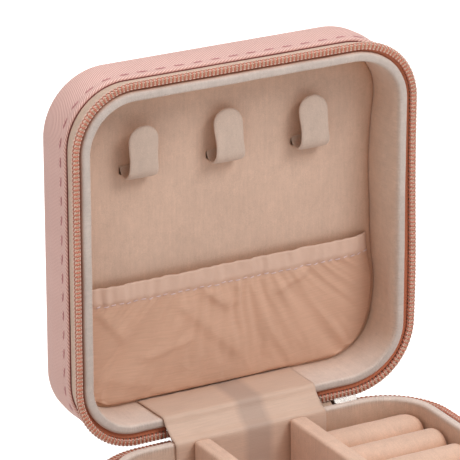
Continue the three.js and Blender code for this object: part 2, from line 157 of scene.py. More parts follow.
class Graph:
    """A material's node tree, with short calls to add nodes and join them."""

    def __init__(self, name, roughness=0.8, **inputs):
        self.material = bpy.data.materials.new(name)
        self.material.use_nodes = True
        self.tree = self.material.node_tree
        self.surface = self.tree.nodes["Principled BSDF"]
        self.put(self.surface, {"Roughness": roughness, **inputs})
        self.where = self.tree.nodes.new("ShaderNodeTexCoord")

    def put(self, node, inputs):
        for key, value in inputs.items():
            socket = node.inputs[key]
            if isinstance(value, bpy.types.NodeSocket):
                self.tree.links.new(value, socket)
            else:
                socket.default_value = value

    def add(self, kind, inputs=None, **settings):
        node = self.tree.nodes.new(kind)
        for key, value in settings.items():
            setattr(node, key, value)
        self.put(node, inputs or {})
        return node

    def uv(self, scale=(1, 1, 1), turn=0, source="UV"):
        """Surface coordinates, scaled and turned by some degrees."""
        inputs = {
            "Vector": self.where.outputs[source], "Scale": scale,
            "Rotation": (0, 0, math.radians(turn)),
        }
        return self.add("ShaderNodeMapping", inputs).outputs[0]

    def spot(self, scale=(1, 1, 1)):
        """The place in space."""
        return self.uv(scale, source="Object")

    def part(self, source, index):
        """One axis of a coordinate."""
        return self.add("ShaderNodeSeparateXYZ", {0: self.where.outputs[source]}).outputs[index]

    def noise(self, size, detail=2.0, roughness=0.5, vector=None):
        """Cloudy noise from 0 to 1 whose blobs measure about size millimetres."""
        inputs = {
            "Vector": vector or self.spot(), "Scale": MM / size, "Detail": detail,
            "Roughness": roughness,
        }
        return self.add("ShaderNodeTexNoise", inputs).outputs[0]

    def lines(self, vector, spacing, distortion=0.0, detail_size=1.0):
        """Even ridges across X, spacing millimetres apart, with values from 0 to 1."""
        inputs = {
            "Vector": vector, "Scale": MM * math.pi / (10 * spacing), "Distortion": distortion,
            "Detail": 1.0, "Detail Scale": detail_size,
        }
        settings = {"wave_type": "BANDS", "bands_direction": "X", "wave_profile": "SIN"}
        return self.add("ShaderNodeTexWave", inputs, **settings).outputs["Fac"]

    def math(self, operation, first, second=0.5):
        return self.add("ShaderNodeMath", {0: first, 1: second}, operation=operation).outputs[0]

    def ramp(self, value, low, high, to_low=0.0, to_high=1.0):
        """The value carried in a straight line from one range to another, and clamped to it."""
        inputs = {
            "Value": value, "From Min": low, "From Max": high, "To Min": to_low, "To Max": to_high,
        }
        return self.add("ShaderNodeMapRange", inputs).outputs[0]

    def blend(self, factor, first, second, mode="MIX"):
        node = self.add("ShaderNodeMix", data_type="RGBA", blend_type=mode)
        self.put(node, {0: factor, 6: first, 7: second})
        return node.outputs[2]

    def tint(self, colour, value, amount):
        """The colour made darker and lighter by a 0-1 value round one half."""
        factor = self.ramp(value, 0.25, 0.75, 1 - amount, 1 + amount)
        grey = self.add("ShaderNodeCombineColor", {0: factor, 1: factor, 2: factor}).outputs[0]
        return self.blend(1.0, colour, grey, "MULTIPLY")

    def painted_recess_shade(self, colour, reach=10.0, shadow=(0.92, 0.80, 0.70, 1)):
        """Painted shade: the colour made darker and warmer where nearby surfaces close it in."""
        inputs = {"Distance": reach / MM}
        opened = self.add("ShaderNodeAmbientOcclusion", inputs, samples=6).outputs["AO"]
        deep = self.blend(1.0, colour, shadow, "MULTIPLY")
        return self.blend(self.ramp(opened, 0.15, 0.85), deep, colour)

    def bump(self, height, distance, strength=1.0, after=None):
        """The normal of a relief some millimetres high, laid over another one."""
        inputs = {"Height": height, "Distance": distance / MM, "Strength": strength}
        if after is not None:
            inputs["Normal"] = after
        return self.add("ShaderNodeBump", inputs).outputs[0]

    def done(self, colour, normal=None):
        """The material, with its colour and normal joined to its surface."""
        self.put(self.surface, {"Base Color": colour})
        if normal is not None:
            self.put(self.surface, {"Normal": normal})
        return self.material


def leather():
    """Pink cross-hatched leather: fine slanted ridges crossed by fainter ones."""
    g = Graph("leather", 0.5, **{"Specular IOR Level": 0.35})
    ridges = g.lines(g.uv(turn=-54), 0.64, 0.8, 0.6)
    crossing = g.lines(g.uv(turn=50), 0.66, 1.6, 0.8)
    fine = g.noise(0.35, 3)
    cloud = g.noise(14, 2)
    height = g.math("ADD", g.math("MULTIPLY", crossing, 0.25), ridges)
    height = g.math("ADD", height, g.math("MULTIPLY", fine, 0.5))
    colour = g.blend(ridges, srgb(197, 149, 141), srgb(241, 204, 194))
    colour = g.tint(colour, cloud, 0.04)
    g.put(g.surface, {"Roughness": g.ramp(ridges, 0, 1, 0.58, 0.44)})
    return g.done(colour, g.bump(height, 0.06))


def edge_paint_with_gap_shade():
    """Dark edge paint on the leather's fold, its colour also painted shade for the gap beside it.
    """
    g = Graph("edge_paint_with_gap_shade", 0.6)
    colour = g.tint(srgb(122, 52, 46), g.noise(1.2, 3), 0.25)
    return g.done(colour, g.bump(g.noise(0.3, 2), 0.05))


def velvet(name, colour, lip=None, brush=0.05):
    """Short-pile cloth: a soft mottle, faint streaks along the pile, brush marks and a pale sheen.
    A lip colour covers the first millimetres of V, where fine pleats run across. On that cloth,
    painted shade makes it browner at its very edge by the zip, and painted light makes it paler
    where it faces up. All of the cloth gets painted shade, darker and warmer, where nearby surfaces
    close it in."""
    g = Graph(name, 0.95, **{
        "Sheen Weight": 0.45, "Sheen Roughness": 0.45, "Sheen Tint": srgb(255, 244, 238),
        "Specular IOR Level": 0.15,
    })
    pile = g.noise(0.22, 3, 0.7)
    mottle = g.noise(2.2, 4, 0.6)
    cloud = g.noise(18, 3)
    streaks = g.noise(0.7, 3, 0.6, g.uv(scale=(1, 0.08, 1)))
    brushed = g.noise(7, 5, 0.7, g.spot((1, 1, 0.5)))
    base = srgb(*colour)
    soft = g.bump(mottle, 0.12)
    if lip is not None:
        length = g.part("UV", 1)
        on_lip = g.ramp(length, 6.2 / MM, 4.4 / MM)
        base = g.blend(on_lip, base, srgb(*lip))
        # painted light: the lip cloth is made paler where it faces up, as if lit from above
        painted_top_light = g.ramp(g.part("Normal", 2), 0.3, 0.95, 0.0, 0.85)
        base = g.blend(painted_top_light, base, srgb(232, 214, 203))
        # painted shade: the lip's outer edge by the zip is made browner, as warm shade in the gap
        # there
        base = g.blend(g.ramp(length, 2.0 / MM, 1.0 / MM), base, srgb(172, 118, 92))
        pleats = g.lines(g.uv(), 0.85, 1.5, 0.5)
        starts = g.ramp(length, 3.2 / MM, 4.6 / MM)
        edge = g.math("MULTIPLY", starts, g.ramp(length, 7.5 / MM, 5.6 / MM))
        soft = g.bump(g.math("MULTIPLY", pleats, edge), 0.05, after=soft)
    shade = base
    for value, amount in (
        (cloud, 0.05), (brushed, brush), (mottle, 0.05), (streaks, 0.05), (pile, 0.13),
    ):
        shade = g.tint(shade, value, amount)
    # painted shade: darker and warmer where nearby surfaces close the cloth in
    return g.done(g.painted_recess_shade(shade, 11.0, (0.90, 0.72, 0.58, 1)), g.bump(pile, 0.10, after=soft))


def taffeta(name, colour, band=None, hem=None):
    """Thin plain-woven satin with slubs across it and a soft lustre. A band (middle, width, colour)
    may run along V, and the double cloth above a height in V may have its own colour."""
    g = Graph(name, 0.55, **{
        "Sheen Weight": 0.25, "Sheen Roughness": 0.4, "Specular IOR Level": 0.3,
        "Anisotropic": 0.5,
    })
    slubs = g.noise(0.45, 3, 0.65, g.uv(scale=(0.06, 1, 1)))
    across = g.lines(g.uv(turn=90), 0.42, 0.8, 0.5)
    along = g.lines(g.uv(), 0.30, 0.6, 0.5)
    weave = g.math("ADD", across, g.math("MULTIPLY", along, 0.5))
    cloud = g.noise(12, 3)
    shade = g.tint(g.tint(srgb(*colour), slubs, 0.07), cloud, 0.035)
    if band is not None:
        middle, width, band_colour = band
        fade = 1.1
        away = g.math("ABSOLUTE", g.math("SUBTRACT", g.part("UV", 0), middle / MM))
        inside = g.ramp(away, (width / 2 + fade) / MM, (width / 2 - fade) / MM, 0.0, 0.6)
        shade = g.blend(inside, shade, srgb(*band_colour))
    if hem is not None:
        line, hem_colour = hem
        above = g.ramp(g.part("UV", 1), (line - 1) / MM, (line + 1) / MM)
        shade = g.blend(above, shade, srgb(*hem_colour))
    rough = g.bump(slubs, 0.05)
    # painted shade: darker and warmer where nearby surfaces close the cloth in
    return g.done(g.painted_recess_shade(shade, 5.0), g.bump(weave, 0.03, 0.8, after=rough))


def zip_tape():
    """Woven zip tape: a fine herringbone."""
    g = Graph("zip_tape", 0.9, **{"Sheen Weight": 0.3})
    left = g.lines(g.uv(turn=35), 0.34, 0.4)
    right = g.lines(g.uv(turn=-35), 0.34, 0.4)
    height = g.math("MAXIMUM", left, right)
    colour = g.blend(height, srgb(178, 140, 116), srgb(222, 190, 166))
    colour = g.tint(colour, g.noise(1.5, 3), 0.12)
    return g.done(colour, g.bump(height, 0.08))


def painted_shade_weave():
    """Painted shade on the tape's inner part: a weave in dark rust, near the coil's colour."""
    g = Graph("painted_shade_weave", 0.85, **{"Sheen Weight": 0.3})
    weave = g.lines(g.uv(turn=30), 0.4, 0.4)
    colour = g.blend(weave, srgb(178, 94, 60), srgb(216, 134, 98))
    return g.done(colour, g.bump(weave, 0.06))


def zip_coil():
    """Glossy rose-gold nylon wire."""
    g = Graph("zip_coil", 0.28, **{
        "Specular IOR Level": 0.6, "Coat Weight": 0.6, "Coat Roughness": 0.2,
        "Subsurface Weight": 0.12, "Subsurface Radius": (0.0008, 0.0004, 0.0003),
    })
    colour = g.tint(srgb(188, 108, 82), g.noise(3.0, 2), 0.10)
    g.put(g.surface, {"Roughness": g.ramp(g.noise(0.4, 2), 0.3, 0.7, 0.2, 0.36)})
    return g.done(colour)


def cord():
    """The knitted cord and sewing thread inside the coil."""
    g = Graph("zip_cord", 0.85, **{"Sheen Weight": 0.3})
    twist = g.lines(g.uv(turn=50), 0.3, 0.4)
    colour = g.blend(twist, srgb(200, 166, 140), srgb(228, 202, 178))
    return g.done(colour, g.bump(twist, 0.08))


def thread(name, dark, light):
    """Twisted sewing thread."""
    g = Graph(name, 0.6, **{"Sheen Weight": 0.3})
    twist = g.lines(g.uv(turn=40), 0.22, 0.3)
    return g.done(g.blend(twist, srgb(*dark), srgb(*light)), g.bump(twist, 0.05))


def metal():
    """Nickel-plated zinc, slightly brushed, with rubbed patches."""
    g = Graph("slider_metal", 0.25, Metallic=1.0)
    brushed = g.noise(0.25, 3, vector=g.spot((0.1, 1, 1)))
    rubbed = g.noise(2.5, 3)
    g.put(g.surface, {"Roughness": g.ramp(rubbed, 0.3, 0.7, 0.16, 0.34)})
    colour = g.tint(srgb(158, 152, 147), rubbed, 0.08)
    return g.done(colour, g.bump(brushed, 0.01))


def fibreboard():
    """Grey-brown packing board with pulp flecks."""
    g = Graph("board", 0.9)
    flecks = g.noise(0.5, 4, 0.7, g.spot((0.3, 1, 1)))
    colour = g.blend(g.ramp(flecks, 0.4, 0.7), srgb(150, 128, 104), srgb(184, 164, 140))
    return g.done(colour, g.bump(flecks, 0.08))


def foam():
    """Cream open-cell foam."""
    g = Graph("foam", 0.95, **{"Subsurface Weight": 0.2})
    cell_size = 0.7
    inputs = {"Vector": g.spot(), "Scale": MM / cell_size}
    cells = g.add("ShaderNodeTexVoronoi", inputs).outputs["Distance"]
    colour = g.blend(g.ramp(cells, 0, 0.7), srgb(214, 206, 188), srgb(238, 232, 218))
    return g.done(colour, g.bump(cells, 0.15))


def elastic():
    """White ribbed elastic."""
    g = Graph("elastic", 0.9)
    ribs = g.lines(g.spot(), 0.7)
    return g.done(g.blend(ribs, srgb(212, 206, 200), srgb(240, 236, 230)), g.bump(ribs, 0.12))


LEATHER = leather()
EDGE_PAINT_WITH_GAP_SHADE = edge_paint_with_gap_shade()
PANEL_VELVET = velvet("panel_velvet", (211, 181, 162))
# one cloth in two colours: the greyer lip colour is painted light on the lit lip, the browner wall
# colour painted warm shade down the wall
LINING_VELVET = velvet("lining_velvet", (214, 188, 170), lip=(199, 186, 178), brush=0.09)
HOOK_VELVET = velvet("hook_velvet", (200, 179, 165))
PEACH = velvet("peach_velvet", (224, 190, 169))
SATIN = taffeta("satin", (213, 173, 149), hem=(35.5, (216, 184, 166)))
RIBBON = taffeta("ribbon_satin", (215, 186, 167), band=(0.8, 7.9, (176, 152, 140)))
TAPE = zip_tape()
GAP_SHADE_CLOTH = painted_shade_weave()
COIL = zip_coil()
CORD = cord()
LEATHER_THREAD = thread("leather_thread", (180, 118, 120), (212, 158, 156))
ZIP_THREAD = thread("zip_thread", (214, 170, 150), (244, 216, 200))
POCKET_THREAD = thread("pocket_thread", (214, 184, 184), (246, 228, 228))
METAL = metal()
BOARD = fibreboard()
FOAM = foam()
ELASTIC = elastic()

# ---------------------------------------------------------------- shaping helpers


def splayed(points):
    """Points with the soft right side moved out a little."""
    points = np.array(points, float)
    points[..., 0] += SPLAY * smooth(points[..., 0], *SPLAY_SPAN)
    return points


def at_rest(points, half):
    """Points given as x, y and depth of one half, moved to where they stand at rest."""
    points = splayed(points)
    if half == "lid":
        points[..., 2] += PARTING
        return swing(points, LID_OPEN, HINGE_Y, HINGE_Z)
    points[..., 2] = PARTING - points[..., 2]
    return points


def at_tail(points):
    """Points of the zip's joined end, given with the case closed, moved to rest."""
    return swing(points, TAIL_TURN, TAIL_Y, TAIL_Z)


def outline(s):
    """Plan points and outward normals at lengths s from the back's middle, towards +X first."""
    s = np.asarray(s, float) + STRAIGHT
    side = np.floor(s / SIDE).astype(int)
    along = s - side * SIDE
    bend = np.clip((along - 2 * STRAIGHT) / CORNER, 0, math.pi / 2)
    normal = np.stack([np.sin(bend), np.cos(bend)], -1)
    point = [np.minimum(along, 2 * STRAIGHT) - STRAIGHT, np.full_like(along, STRAIGHT)]
    point = np.stack(point, -1) + CORNER * normal
    for quarter in range(1, 4):
        turned = side % 4 == quarter
        for _ in range(quarter):
            point[turned] = np.stack([point[turned, 1], -point[turned, 0]], -1)
            normal[turned] = np.stack([normal[turned, 1], -normal[turned, 0]], -1)
    return point, normal


def around(step):
    """Evenly spaced lengths round the whole outline, about step apart."""
    count = int(round(PERIMETER / step))
    return np.arange(count) * PERIMETER / count


def wall(s, inset, depth):
    """Half points at lengths s, each with its own row of insets and depths."""
    point, normal = outline(s)
    inset = np.broadcast_to(inset, (len(s), np.shape(inset)[-1]))
    depth = np.broadcast_to(depth, inset.shape)
    plan = point[:, None] - normal[:, None] * inset[..., None]
    return np.concatenate([plan, depth[..., None]], -1)


def smooth(value, low, high):
    """An eased step from 0 at low to 1 at high."""
    t = np.clip((np.asarray(value, float) - low) / (high - low), 0, 1)
    return t * t * (3 - 2 * t)


def hump(value, middle, width):
    """A smooth hump of height 1 round a middle."""
    return np.exp(-((np.asarray(value, float) - middle) / width) ** 2)


def bowed(points):
    """Lid points with the bows of the soft right wall."""
    points = np.array(points, float)
    shift = sum(amount * hump(points[..., 1], middle, width) for amount, middle, width in BOWS)
    points[..., 0] += shift * smooth(points[..., 0], 27, 44) * smooth(points[..., 2], 2.5, 7)
    return points


def waves(points, size, seed):
    """Smooth noise from -1 to 1 at each point, with blobs of about size millimetres."""
    flat = np.asarray(points, float).reshape(-1, np.shape(points)[-1]) / size
    shift = Vector((seed * 7.3, seed * 3.1, seed * 5.7))
    if flat.shape[1] == 2:
        flat = np.concatenate([flat, np.zeros((len(flat), 1))], 1)
    values = [noise.noise(Vector(row) + shift) for row in flat]
    return np.array(values).reshape(np.shape(points)[:-1])


def run_length(points):
    """Running length along the last-but-one axis of an array of points."""
    steps = np.linalg.norm(np.diff(points, axis=-2), axis=-1)
    return np.concatenate([np.zeros(steps.shape[:-1] + (1,)), np.cumsum(steps, -1)], -1)


def unit(vectors):
    return vectors / np.linalg.norm(vectors, axis=-1, keepdims=True)


def path_normals(path):
    """Unit normals of a path in a plane."""
    tangent = unit(np.gradient(path, axis=0))
    return np.stack([-tangent[:, 1], tangent[:, 0]], -1)


def read_at(at, length, path):
    """Points of a path at some of its running lengths."""
    return np.stack([np.interp(at, length, path[:, k]) for k in range(path.shape[1])], -1)


def full_turn(count):
    """Evenly spaced angles round a circle."""
    return np.linspace(0, 2 * math.pi, count + 1)[:-1]


def boxy(wave, power):
    """A sine or cosine with flatter crests, which draws a ring out towards a rectangle."""
    return np.sign(wave) * np.abs(wave) ** power


def linked(name, data):
    """A new object of some data, put in the scene."""
    made = bpy.data.objects.new(name, data)
    bpy.context.scene.collection.objects.link(made)
    return made


def from_work(name, work):
    """An object from a bmesh, which is freed."""
    mesh = bpy.data.meshes.new(name)
    work.to_mesh(mesh)
    work.free()
    return linked(name, mesh)


def mesh_object(name, points, faces, corner_uv, material, fill=True):
    """An object from points in millimetres, faces, and one UV in metres for each face corner.
    Open ends are filled unless fill is false."""
    mesh = bpy.data.meshes.new(name)
    mesh.from_pydata((np.asarray(points) / MM).tolist(), [], faces)
    layer = mesh.uv_layers.new(name="UVMap")
    layer.data.foreach_set("uv", (np.asarray(corner_uv) / MM).astype(np.float32).ravel())
    work = bmesh.new()
    work.from_mesh(mesh)
    bmesh.ops.remove_doubles(work, verts=work.verts, dist=1e-7)
    bmesh.ops.dissolve_degenerate(work, edges=work.edges, dist=1e-7)
    rims = [edge for edge in work.edges if edge.is_boundary]
    if rims and fill:
        bmesh.ops.holes_fill(work, edges=rims, sides=0)
    bmesh.ops.recalc_face_normals(work, faces=work.faces)
    work.to_mesh(mesh)
    work.free()
    mesh.shade_smooth()
    mesh.materials.append(material)
    return linked(name, mesh)


def cells(rows, columns):
    """The four corners of each cell of a grid, as arrays of rows and columns."""
    i, j = [k.ravel() for k in np.meshgrid(np.arange(rows), np.arange(columns), indexing="ij")]
    return [(i, j), (i + 1, j), (i + 1, j + 1), (i, j + 1)]


def grid(name, points, uv, material, loop_u=False, loop_v=False, flat_from=None, flat=None,
         fill=True):
    """A grid of points (rows u, columns v), with UVs in millimetres that have one more row or
    column where the grid loops. From column flat_from on, faces take their UVs from flat."""
    rows, columns = points.shape[:2]
    corners = cells(rows if loop_u else rows - 1, columns if loop_v else columns - 1)
    faces = np.stack([(a % rows) * columns + b % columns for a, b in corners], -1)
    corner_uv = np.stack([uv[a, b] for a, b in corners], 1)
    if flat_from is not None:
        level = np.stack([flat[a % rows, b % columns] for a, b in corners], 1)
        corner_uv = np.where((corners[0][1] >= flat_from)[:, None, None], level, corner_uv)
    return mesh_object(name, points.reshape(-1, 3), faces.tolist(), corner_uv, material, fill)


def grid_uv(u, v):
    """UVs of a grid from its row and column lengths."""
    return np.stack(np.broadcast_arrays(np.asarray(u)[:, None], np.asarray(v)), -1)


def ring_uv(s, v):
    """UVs of a grid that closes round the whole outline."""
    return grid_uv(np.append(s, PERIMETER), v)


def tubes(name, runs, material, sides=8):
    """One mesh of many round tubes; each run is (path, normals, radii along the path)."""
    points, faces, corner_uv = [], [], []
    turn = np.arange(sides + 1) * 2 * math.pi / sides
    start = 0
    for path, normals, radii in runs:
        tangent = unit(np.gradient(path, axis=0))
        across = unit(np.cross(tangent, normals))
        up = np.cross(across, tangent)
        spokes = up[:, None] * np.cos(turn[:-1, None]) + across[:, None] * np.sin(turn[:-1, None])
        radii = np.broadcast_to(radii, len(path))
        points.append((path[:, None] + spokes * radii[:, None, None]).reshape(-1, 3))
        corners = cells(len(path) - 1, sides)
        faces.append(np.stack([start + a * sides + b % sides for a, b in corners], -1))
        length = run_length(path)
        round_length = turn * radii.mean()
        uv = [np.stack([length[a], round_length[b]], -1) for a, b in corners]
        corner_uv.append(np.stack(uv, 1))
        start += len(path) * sides
    points, faces, corner_uv = [np.concatenate(rows) for rows in (points, faces, corner_uv)]
    return mesh_object(name, points, faces.tolist(), corner_uv, material)


def run_at_rest(path, outward, radii, half):
    """A run for tubes(), from points of one half and the way that their surface faces."""
    start = at_rest(path, half)
    return start, at_rest(path + outward, half) - start, radii


def modify(piece, kind, **settings):
    """Adds a modifier."""
    modifier = piece.modifiers.new(kind.lower(), kind)
    for key, value in settings.items():
        setattr(modifier, key, value)
    return modifier


def applied(piece):
    """The piece with its modifiers made real."""
    evaluated = piece.evaluated_get(bpy.context.evaluated_depsgraph_get())
    mesh = bpy.data.meshes.new_from_object(evaluated)
    piece.modifiers.clear()
    piece.data = mesh
    mesh.name = piece.name
    return piece


def rounded(piece):
    """The piece with its facets smoothed by one subdivision."""
    modify(piece, "SUBSURF", levels=1, render_levels=1)
    return piece


def cut(piece, cutter):
    """Takes the cutter's shape out of the piece."""
    modify(piece, "BOOLEAN", operation="DIFFERENCE", object=cutter, solver="EXACT")
    applied(piece)
    bpy.data.objects.remove(cutter)


def place(piece, body, slot, *replaced):
    """Makes a piece ride on a body and stand for CAD nodes, which it hides; the slot is not used.
    """
    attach(piece, body)
    if replaced:
        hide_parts(*replaced)
    return piece


# ---------------------------------------------------------------- leather covers and their stitches


def arc(centre, radius, start, end, count):
    """Points on an arc in inset and depth; angle 0 points to a deeper inset, 90 to more depth."""
    turn = np.radians(np.linspace(start, end, count))
    return [(centre[0] + radius * math.cos(t), centre[1] + radius * math.sin(t)) for t in turn]


def cover_profile(depth):
    """Inset and depth from the turned edge, up the side and round the outer edge."""
    curl = 0.5
    side = [(0.0, d) for d in np.arange(TURNED_EDGE + 1.2, depth - EDGE_ROUND, 0.5)]
    edge = arc((EDGE_ROUND, depth - EDGE_ROUND), EDGE_ROUND, 180, 90, 9)
    turned = [(2 * curl, TURNED_EDGE + 2.0)] + arc((curl, TURNED_EDGE + curl), curl, 0, -180, 9)
    return np.array(turned + side + edge)


def stitch_groove(s, depth):
    """How far the thread pulls the leather in, at lengths s and depths."""
    phase = np.cos(2 * math.pi * (s[:, None] - STITCH_LENGTH / 2) / STITCH_PITCH)
    across = np.exp(-((depth - STITCH_DEPTH) / 0.55) ** 2)
    return (0.16 - 0.09 * phase) * across


def cover(half, depth, crown):
    """A half's leather: the side with its stitch groove, the outer edge and the crowned face."""
    s = around(STITCH_PITCH / 6)
    profile = cover_profile(depth)
    inset = np.broadcast_to(profile[:, 0], (len(s), len(profile)))
    level = np.broadcast_to(profile[:, 1], inset.shape)
    on_side = (level < depth - EDGE_ROUND) & (inset < 0.01)
    swell = 0.22 * np.sin(math.pi * smooth(level, LEATHER_EDGE + 4, depth - 1))
    pad = np.where(on_side, stitch_groove(s, level) - swell, 0)
    side = wall(s, inset + pad, level)
    rim = side[:, -1]
    scale = np.linspace(1, 0, 30)[1:]
    cap = rim[:, None] * np.stack([scale, scale, np.ones_like(scale)], -1)
    reach = HALF - EDGE_ROUND
    fall = np.linalg.norm(cap[..., :2] / reach, axis=-1, ord=4)
    cap[..., 2] = depth - crown * smooth(fall, 0.35, 1.15)
    side[..., 2] -= crown * smooth(1, 0.35, 1.15) * smooth(side[..., 2], depth - EDGE_ROUND, depth)
    points = np.concatenate([side, cap], 1)
    uv = ring_uv(s, np.append(run_length(side)[0], scale))
    piece = grid(f"{half}_cover_leather", at_rest(points, half), uv, LEATHER, loop_u=True,
                 flat_from=side.shape[1] - 1, flat=points[..., :2], fill=False)
    modify(piece, "SOLIDIFY", thickness=LEATHER_THICK / MM, offset=-1, use_even_offset=True)
    return place(piece, half, "leather", f"{half}_cover")


def gap_shade_and_edge_ring(half):
    """A dark ring between the leather's fold and the tape: partly edge paint, partly painted shade
    of the gap.
    """
    s = around(1.5)
    depth, inset, radius = TURNED_EDGE + 0.1, 0.8, 0.19
    ring = np.array(arc((inset, depth), radius, 0, 360, 11))[:-1]
    points = wall(s, ring[:, 0], ring[:, 1])
    uv = ring_uv(s, np.linspace(0, 2 * math.pi * radius, len(ring) + 1))
    piece = grid(f"{half}_gap_shade_and_edge_ring", at_rest(points, half), uv, EDGE_PAINT_WITH_GAP_SHADE, True, True)
    return place(piece, half, "leather")


def stitches(half):
    """A row of thread stitches that dip into the leather at both ends."""
    count = int(PERIMETER / STITCH_PITCH)
    pitch = PERIMETER / count
    runs = []
    t = np.linspace(0, 1, 9)
    end = 2 * t - 1
    sink = 0.10 + 0.42 * end ** 6
    radii = 0.21 * np.sqrt(np.clip(1 - end ** 8, 0.02, 1))
    for k in range(count):
        uneven = math.sin(7.3 * k)
        s = k * pitch + (STITCH_LENGTH + 0.25 * uneven) * t
        slant = (0.14 + 0.10 * math.sin(3.1 * k)) * end + 0.05 * uneven
        path = wall(s, sink[:, None], (STITCH_DEPTH + slant)[:, None])[:, 0]
        outward = np.concatenate([outline(s)[1], np.zeros((len(s), 1))], 1)
        runs.append(run_at_rest(path, outward, radii, half))
    piece = tubes(f"{half}_stitching", runs, LEATHER_THREAD, 6)
    return place(piece, half, "leather")


# ---------------------------------------------------------------- zip


def lean(s, half):
    """How far the zip leans outward at its free edge: most on the right and at the hinge."""
    point, normal = outline(s)
    right, back = np.clip(normal[:, 0], 0, 1), np.clip(normal[:, 1], 0, 1)
    if half == "lid":
        return 0.1 + (0.75 + 0.7 * hump(point[:, 1], 20, 24)) * right ** 2 + 0.6 * back ** 2
    return np.full(len(normal), BASE_ZIP_LEAN)


def zip_drop(half):
    """How far the zip's free edge hangs away from the parting plane."""
    return BASE_ZIP_DROP if half == "base" else 0.0


def leaning(s, inset, depth, half):
    """Half points of the zip at lengths s, with its lean added to the insets."""
    depth = np.broadcast_to(depth, (len(s), np.shape(depth)[-1]))
    share = np.clip((LEATHER_EDGE - depth) / (LEATHER_EDGE - 1.0), 0, 1.2) ** 1.4
    drop = zip_drop(half)
    return wall(s, inset - lean(s, half)[:, None] * share, depth + drop * share)


def zip_lengths(step, right_start=ZIP_GAP):
    """Lengths along the zip, from right of the spine round to its left."""
    count = int((PERIMETER - ZIP_GAP - right_start) / step)
    return np.linspace(right_start, PERIMETER - ZIP_GAP, count)


def tape(half):
    """Zip tape from under the leather out and up to the coil's outer flank."""
    s = zip_lengths(1.2)
    thick = 0.3
    out = [(1.45, tape_high[2]), (1.45, 8.6), (1.3, 7.6), (1.02, 6.6), (0.8, 5.6), (0.5, 4.4),
           (0.2, 3.2), (-0.05, 2.2), (-0.18, 1.7), (-0.3, 1.25)]
    out = softened(resampled(out, 0.35), 2)
    profile = np.concatenate([out, out[::-1] + [thick, 0]])
    points = leaning(s, profile[:, 0], profile[:, 1], half)
    points[..., :2] += 0.05 * waves(points[..., :2], 9, 2)[..., None] * outline(s)[1][:, None]
    closed = np.concatenate([profile, profile[:1]])
    piece = grid(f"{half}_tape_woven", at_rest(points, half), grid_uv(s, run_length(closed)), TAPE,
                 loop_v=True)
    return place(piece, half, "zip_tape", f"{half}_zip_tape")


def painted_shade_strip(half):
    """The tape's inner part in painted shade: a strip that closes the gap between the coil and the
    lip.
    """
    s = zip_lengths(1.2)
    outer = leaning(s, [COIL_MIDDLE[0] + 0.85], [1.25], half)[:, 0]
    inner = wall(s, [LIP_INSET + 0.35], [1.9 + zip_drop(half)])[:, 0]
    t = np.linspace(0, 1, 7)[:, None]
    top = outer[:, None] * (1 - t) + inner[:, None] * t
    top[..., 2] += 0.12 * np.sin(math.pi * t[:, 0])
    points = np.concatenate([top, top[:, ::-1] + [0, 0, 0.2]], 1)
    uv = grid_uv(s, np.linspace(0, 4, points.shape[1] + 1))
    piece = grid(f"{half}_painted_shade_strip", at_rest(points, half), uv, GAP_SHADE_CLOTH, loop_v=True)
    return place(piece, half, "zip_tape")


def coil_points(s, turn, half, grow=1.0):
    """Points on the coil's loops at lengths s and turning angles."""
    inset = COIL_MIDDLE[0] + COIL_REACH[0] * grow * np.cos(turn)
    depth = COIL_MIDDLE[1] + COIL_REACH[1] * grow * np.sin(turn)
    return leaning(s, inset[:, None], depth[:, None], half)[:, 0]


def coil(half):
    """The coil's wire, wound round a cord, with the threads that sew it down."""
    begin = COIL_START[half]
    loops = int((PERIMETER - ZIP_GAP - begin) / TOOTH_PITCH)
    turn = np.linspace(0, 2 * math.pi * loops, 14 * loops + 1)
    shift = 0.0 if half == "lid" else TOOTH_PITCH / 2
    s = begin + TOOTH_PITCH * turn / (2 * math.pi) + shift
    s += 0.16 * np.sin(2 * turn)
    path = at_rest(coil_points(s, turn, half), half)
    inner = at_rest(coil_points(s, turn, half, 0.5), half)
    piece = tubes(f"{half}_coil_wire", [(path, path - inner, COIL_WIRE)], COIL, 7)
    place(piece, half, "zip_coil", f"{half}_zip_coil")
    s = zip_lengths(1.0, begin)
    turn = np.radians(np.arange(12) * 30)
    inset = COIL_MIDDLE[0] + 0.78 * np.cos(turn)
    depth = COIL_MIDDLE[1] + 0.55 * np.sin(turn)
    points = leaning(s, inset, depth, half)
    uv = grid_uv(s, np.arange(13) * 0.3)
    place(grid(f"{half}_coil_cord", at_rest(points, half), uv, CORD, loop_v=True), half, "zip_coil")
    coil_threads(half)


def coil_threads(half):
    """Sewing threads that wave over the coil's loops."""
    begin = COIL_START[half]
    s = zip_lengths(TOOTH_PITCH / 7, begin)
    wave = 2 * math.pi * (s - begin) / TOOTH_PITCH
    top = COIL_MIDDLE[1] - COIL_REACH[1] - COIL_WIRE
    runs = []
    for inset, phase, radius in ((1.23, 0.0, 0.15), (0.01, 2.2, 0.17), (-0.4, 4.0, 0.17)):
        across = inset + 0.11 * np.sin(wave + phase)
        rounding = 0.35 * ((inset - COIL_MIDDLE[0]) / COIL_REACH[0]) ** 2
        depth = top + 0.03 + rounding + 0.10 * (1 + np.cos(wave + phase))
        path = leaning(s, across[:, None], depth[:, None], half)[:, 0]
        runs.append(run_at_rest(path, [0, 0, -1], radius, half))
    place(tubes(f"{half}_coil_threads", runs, ZIP_THREAD, 6), half, "zip_tape")


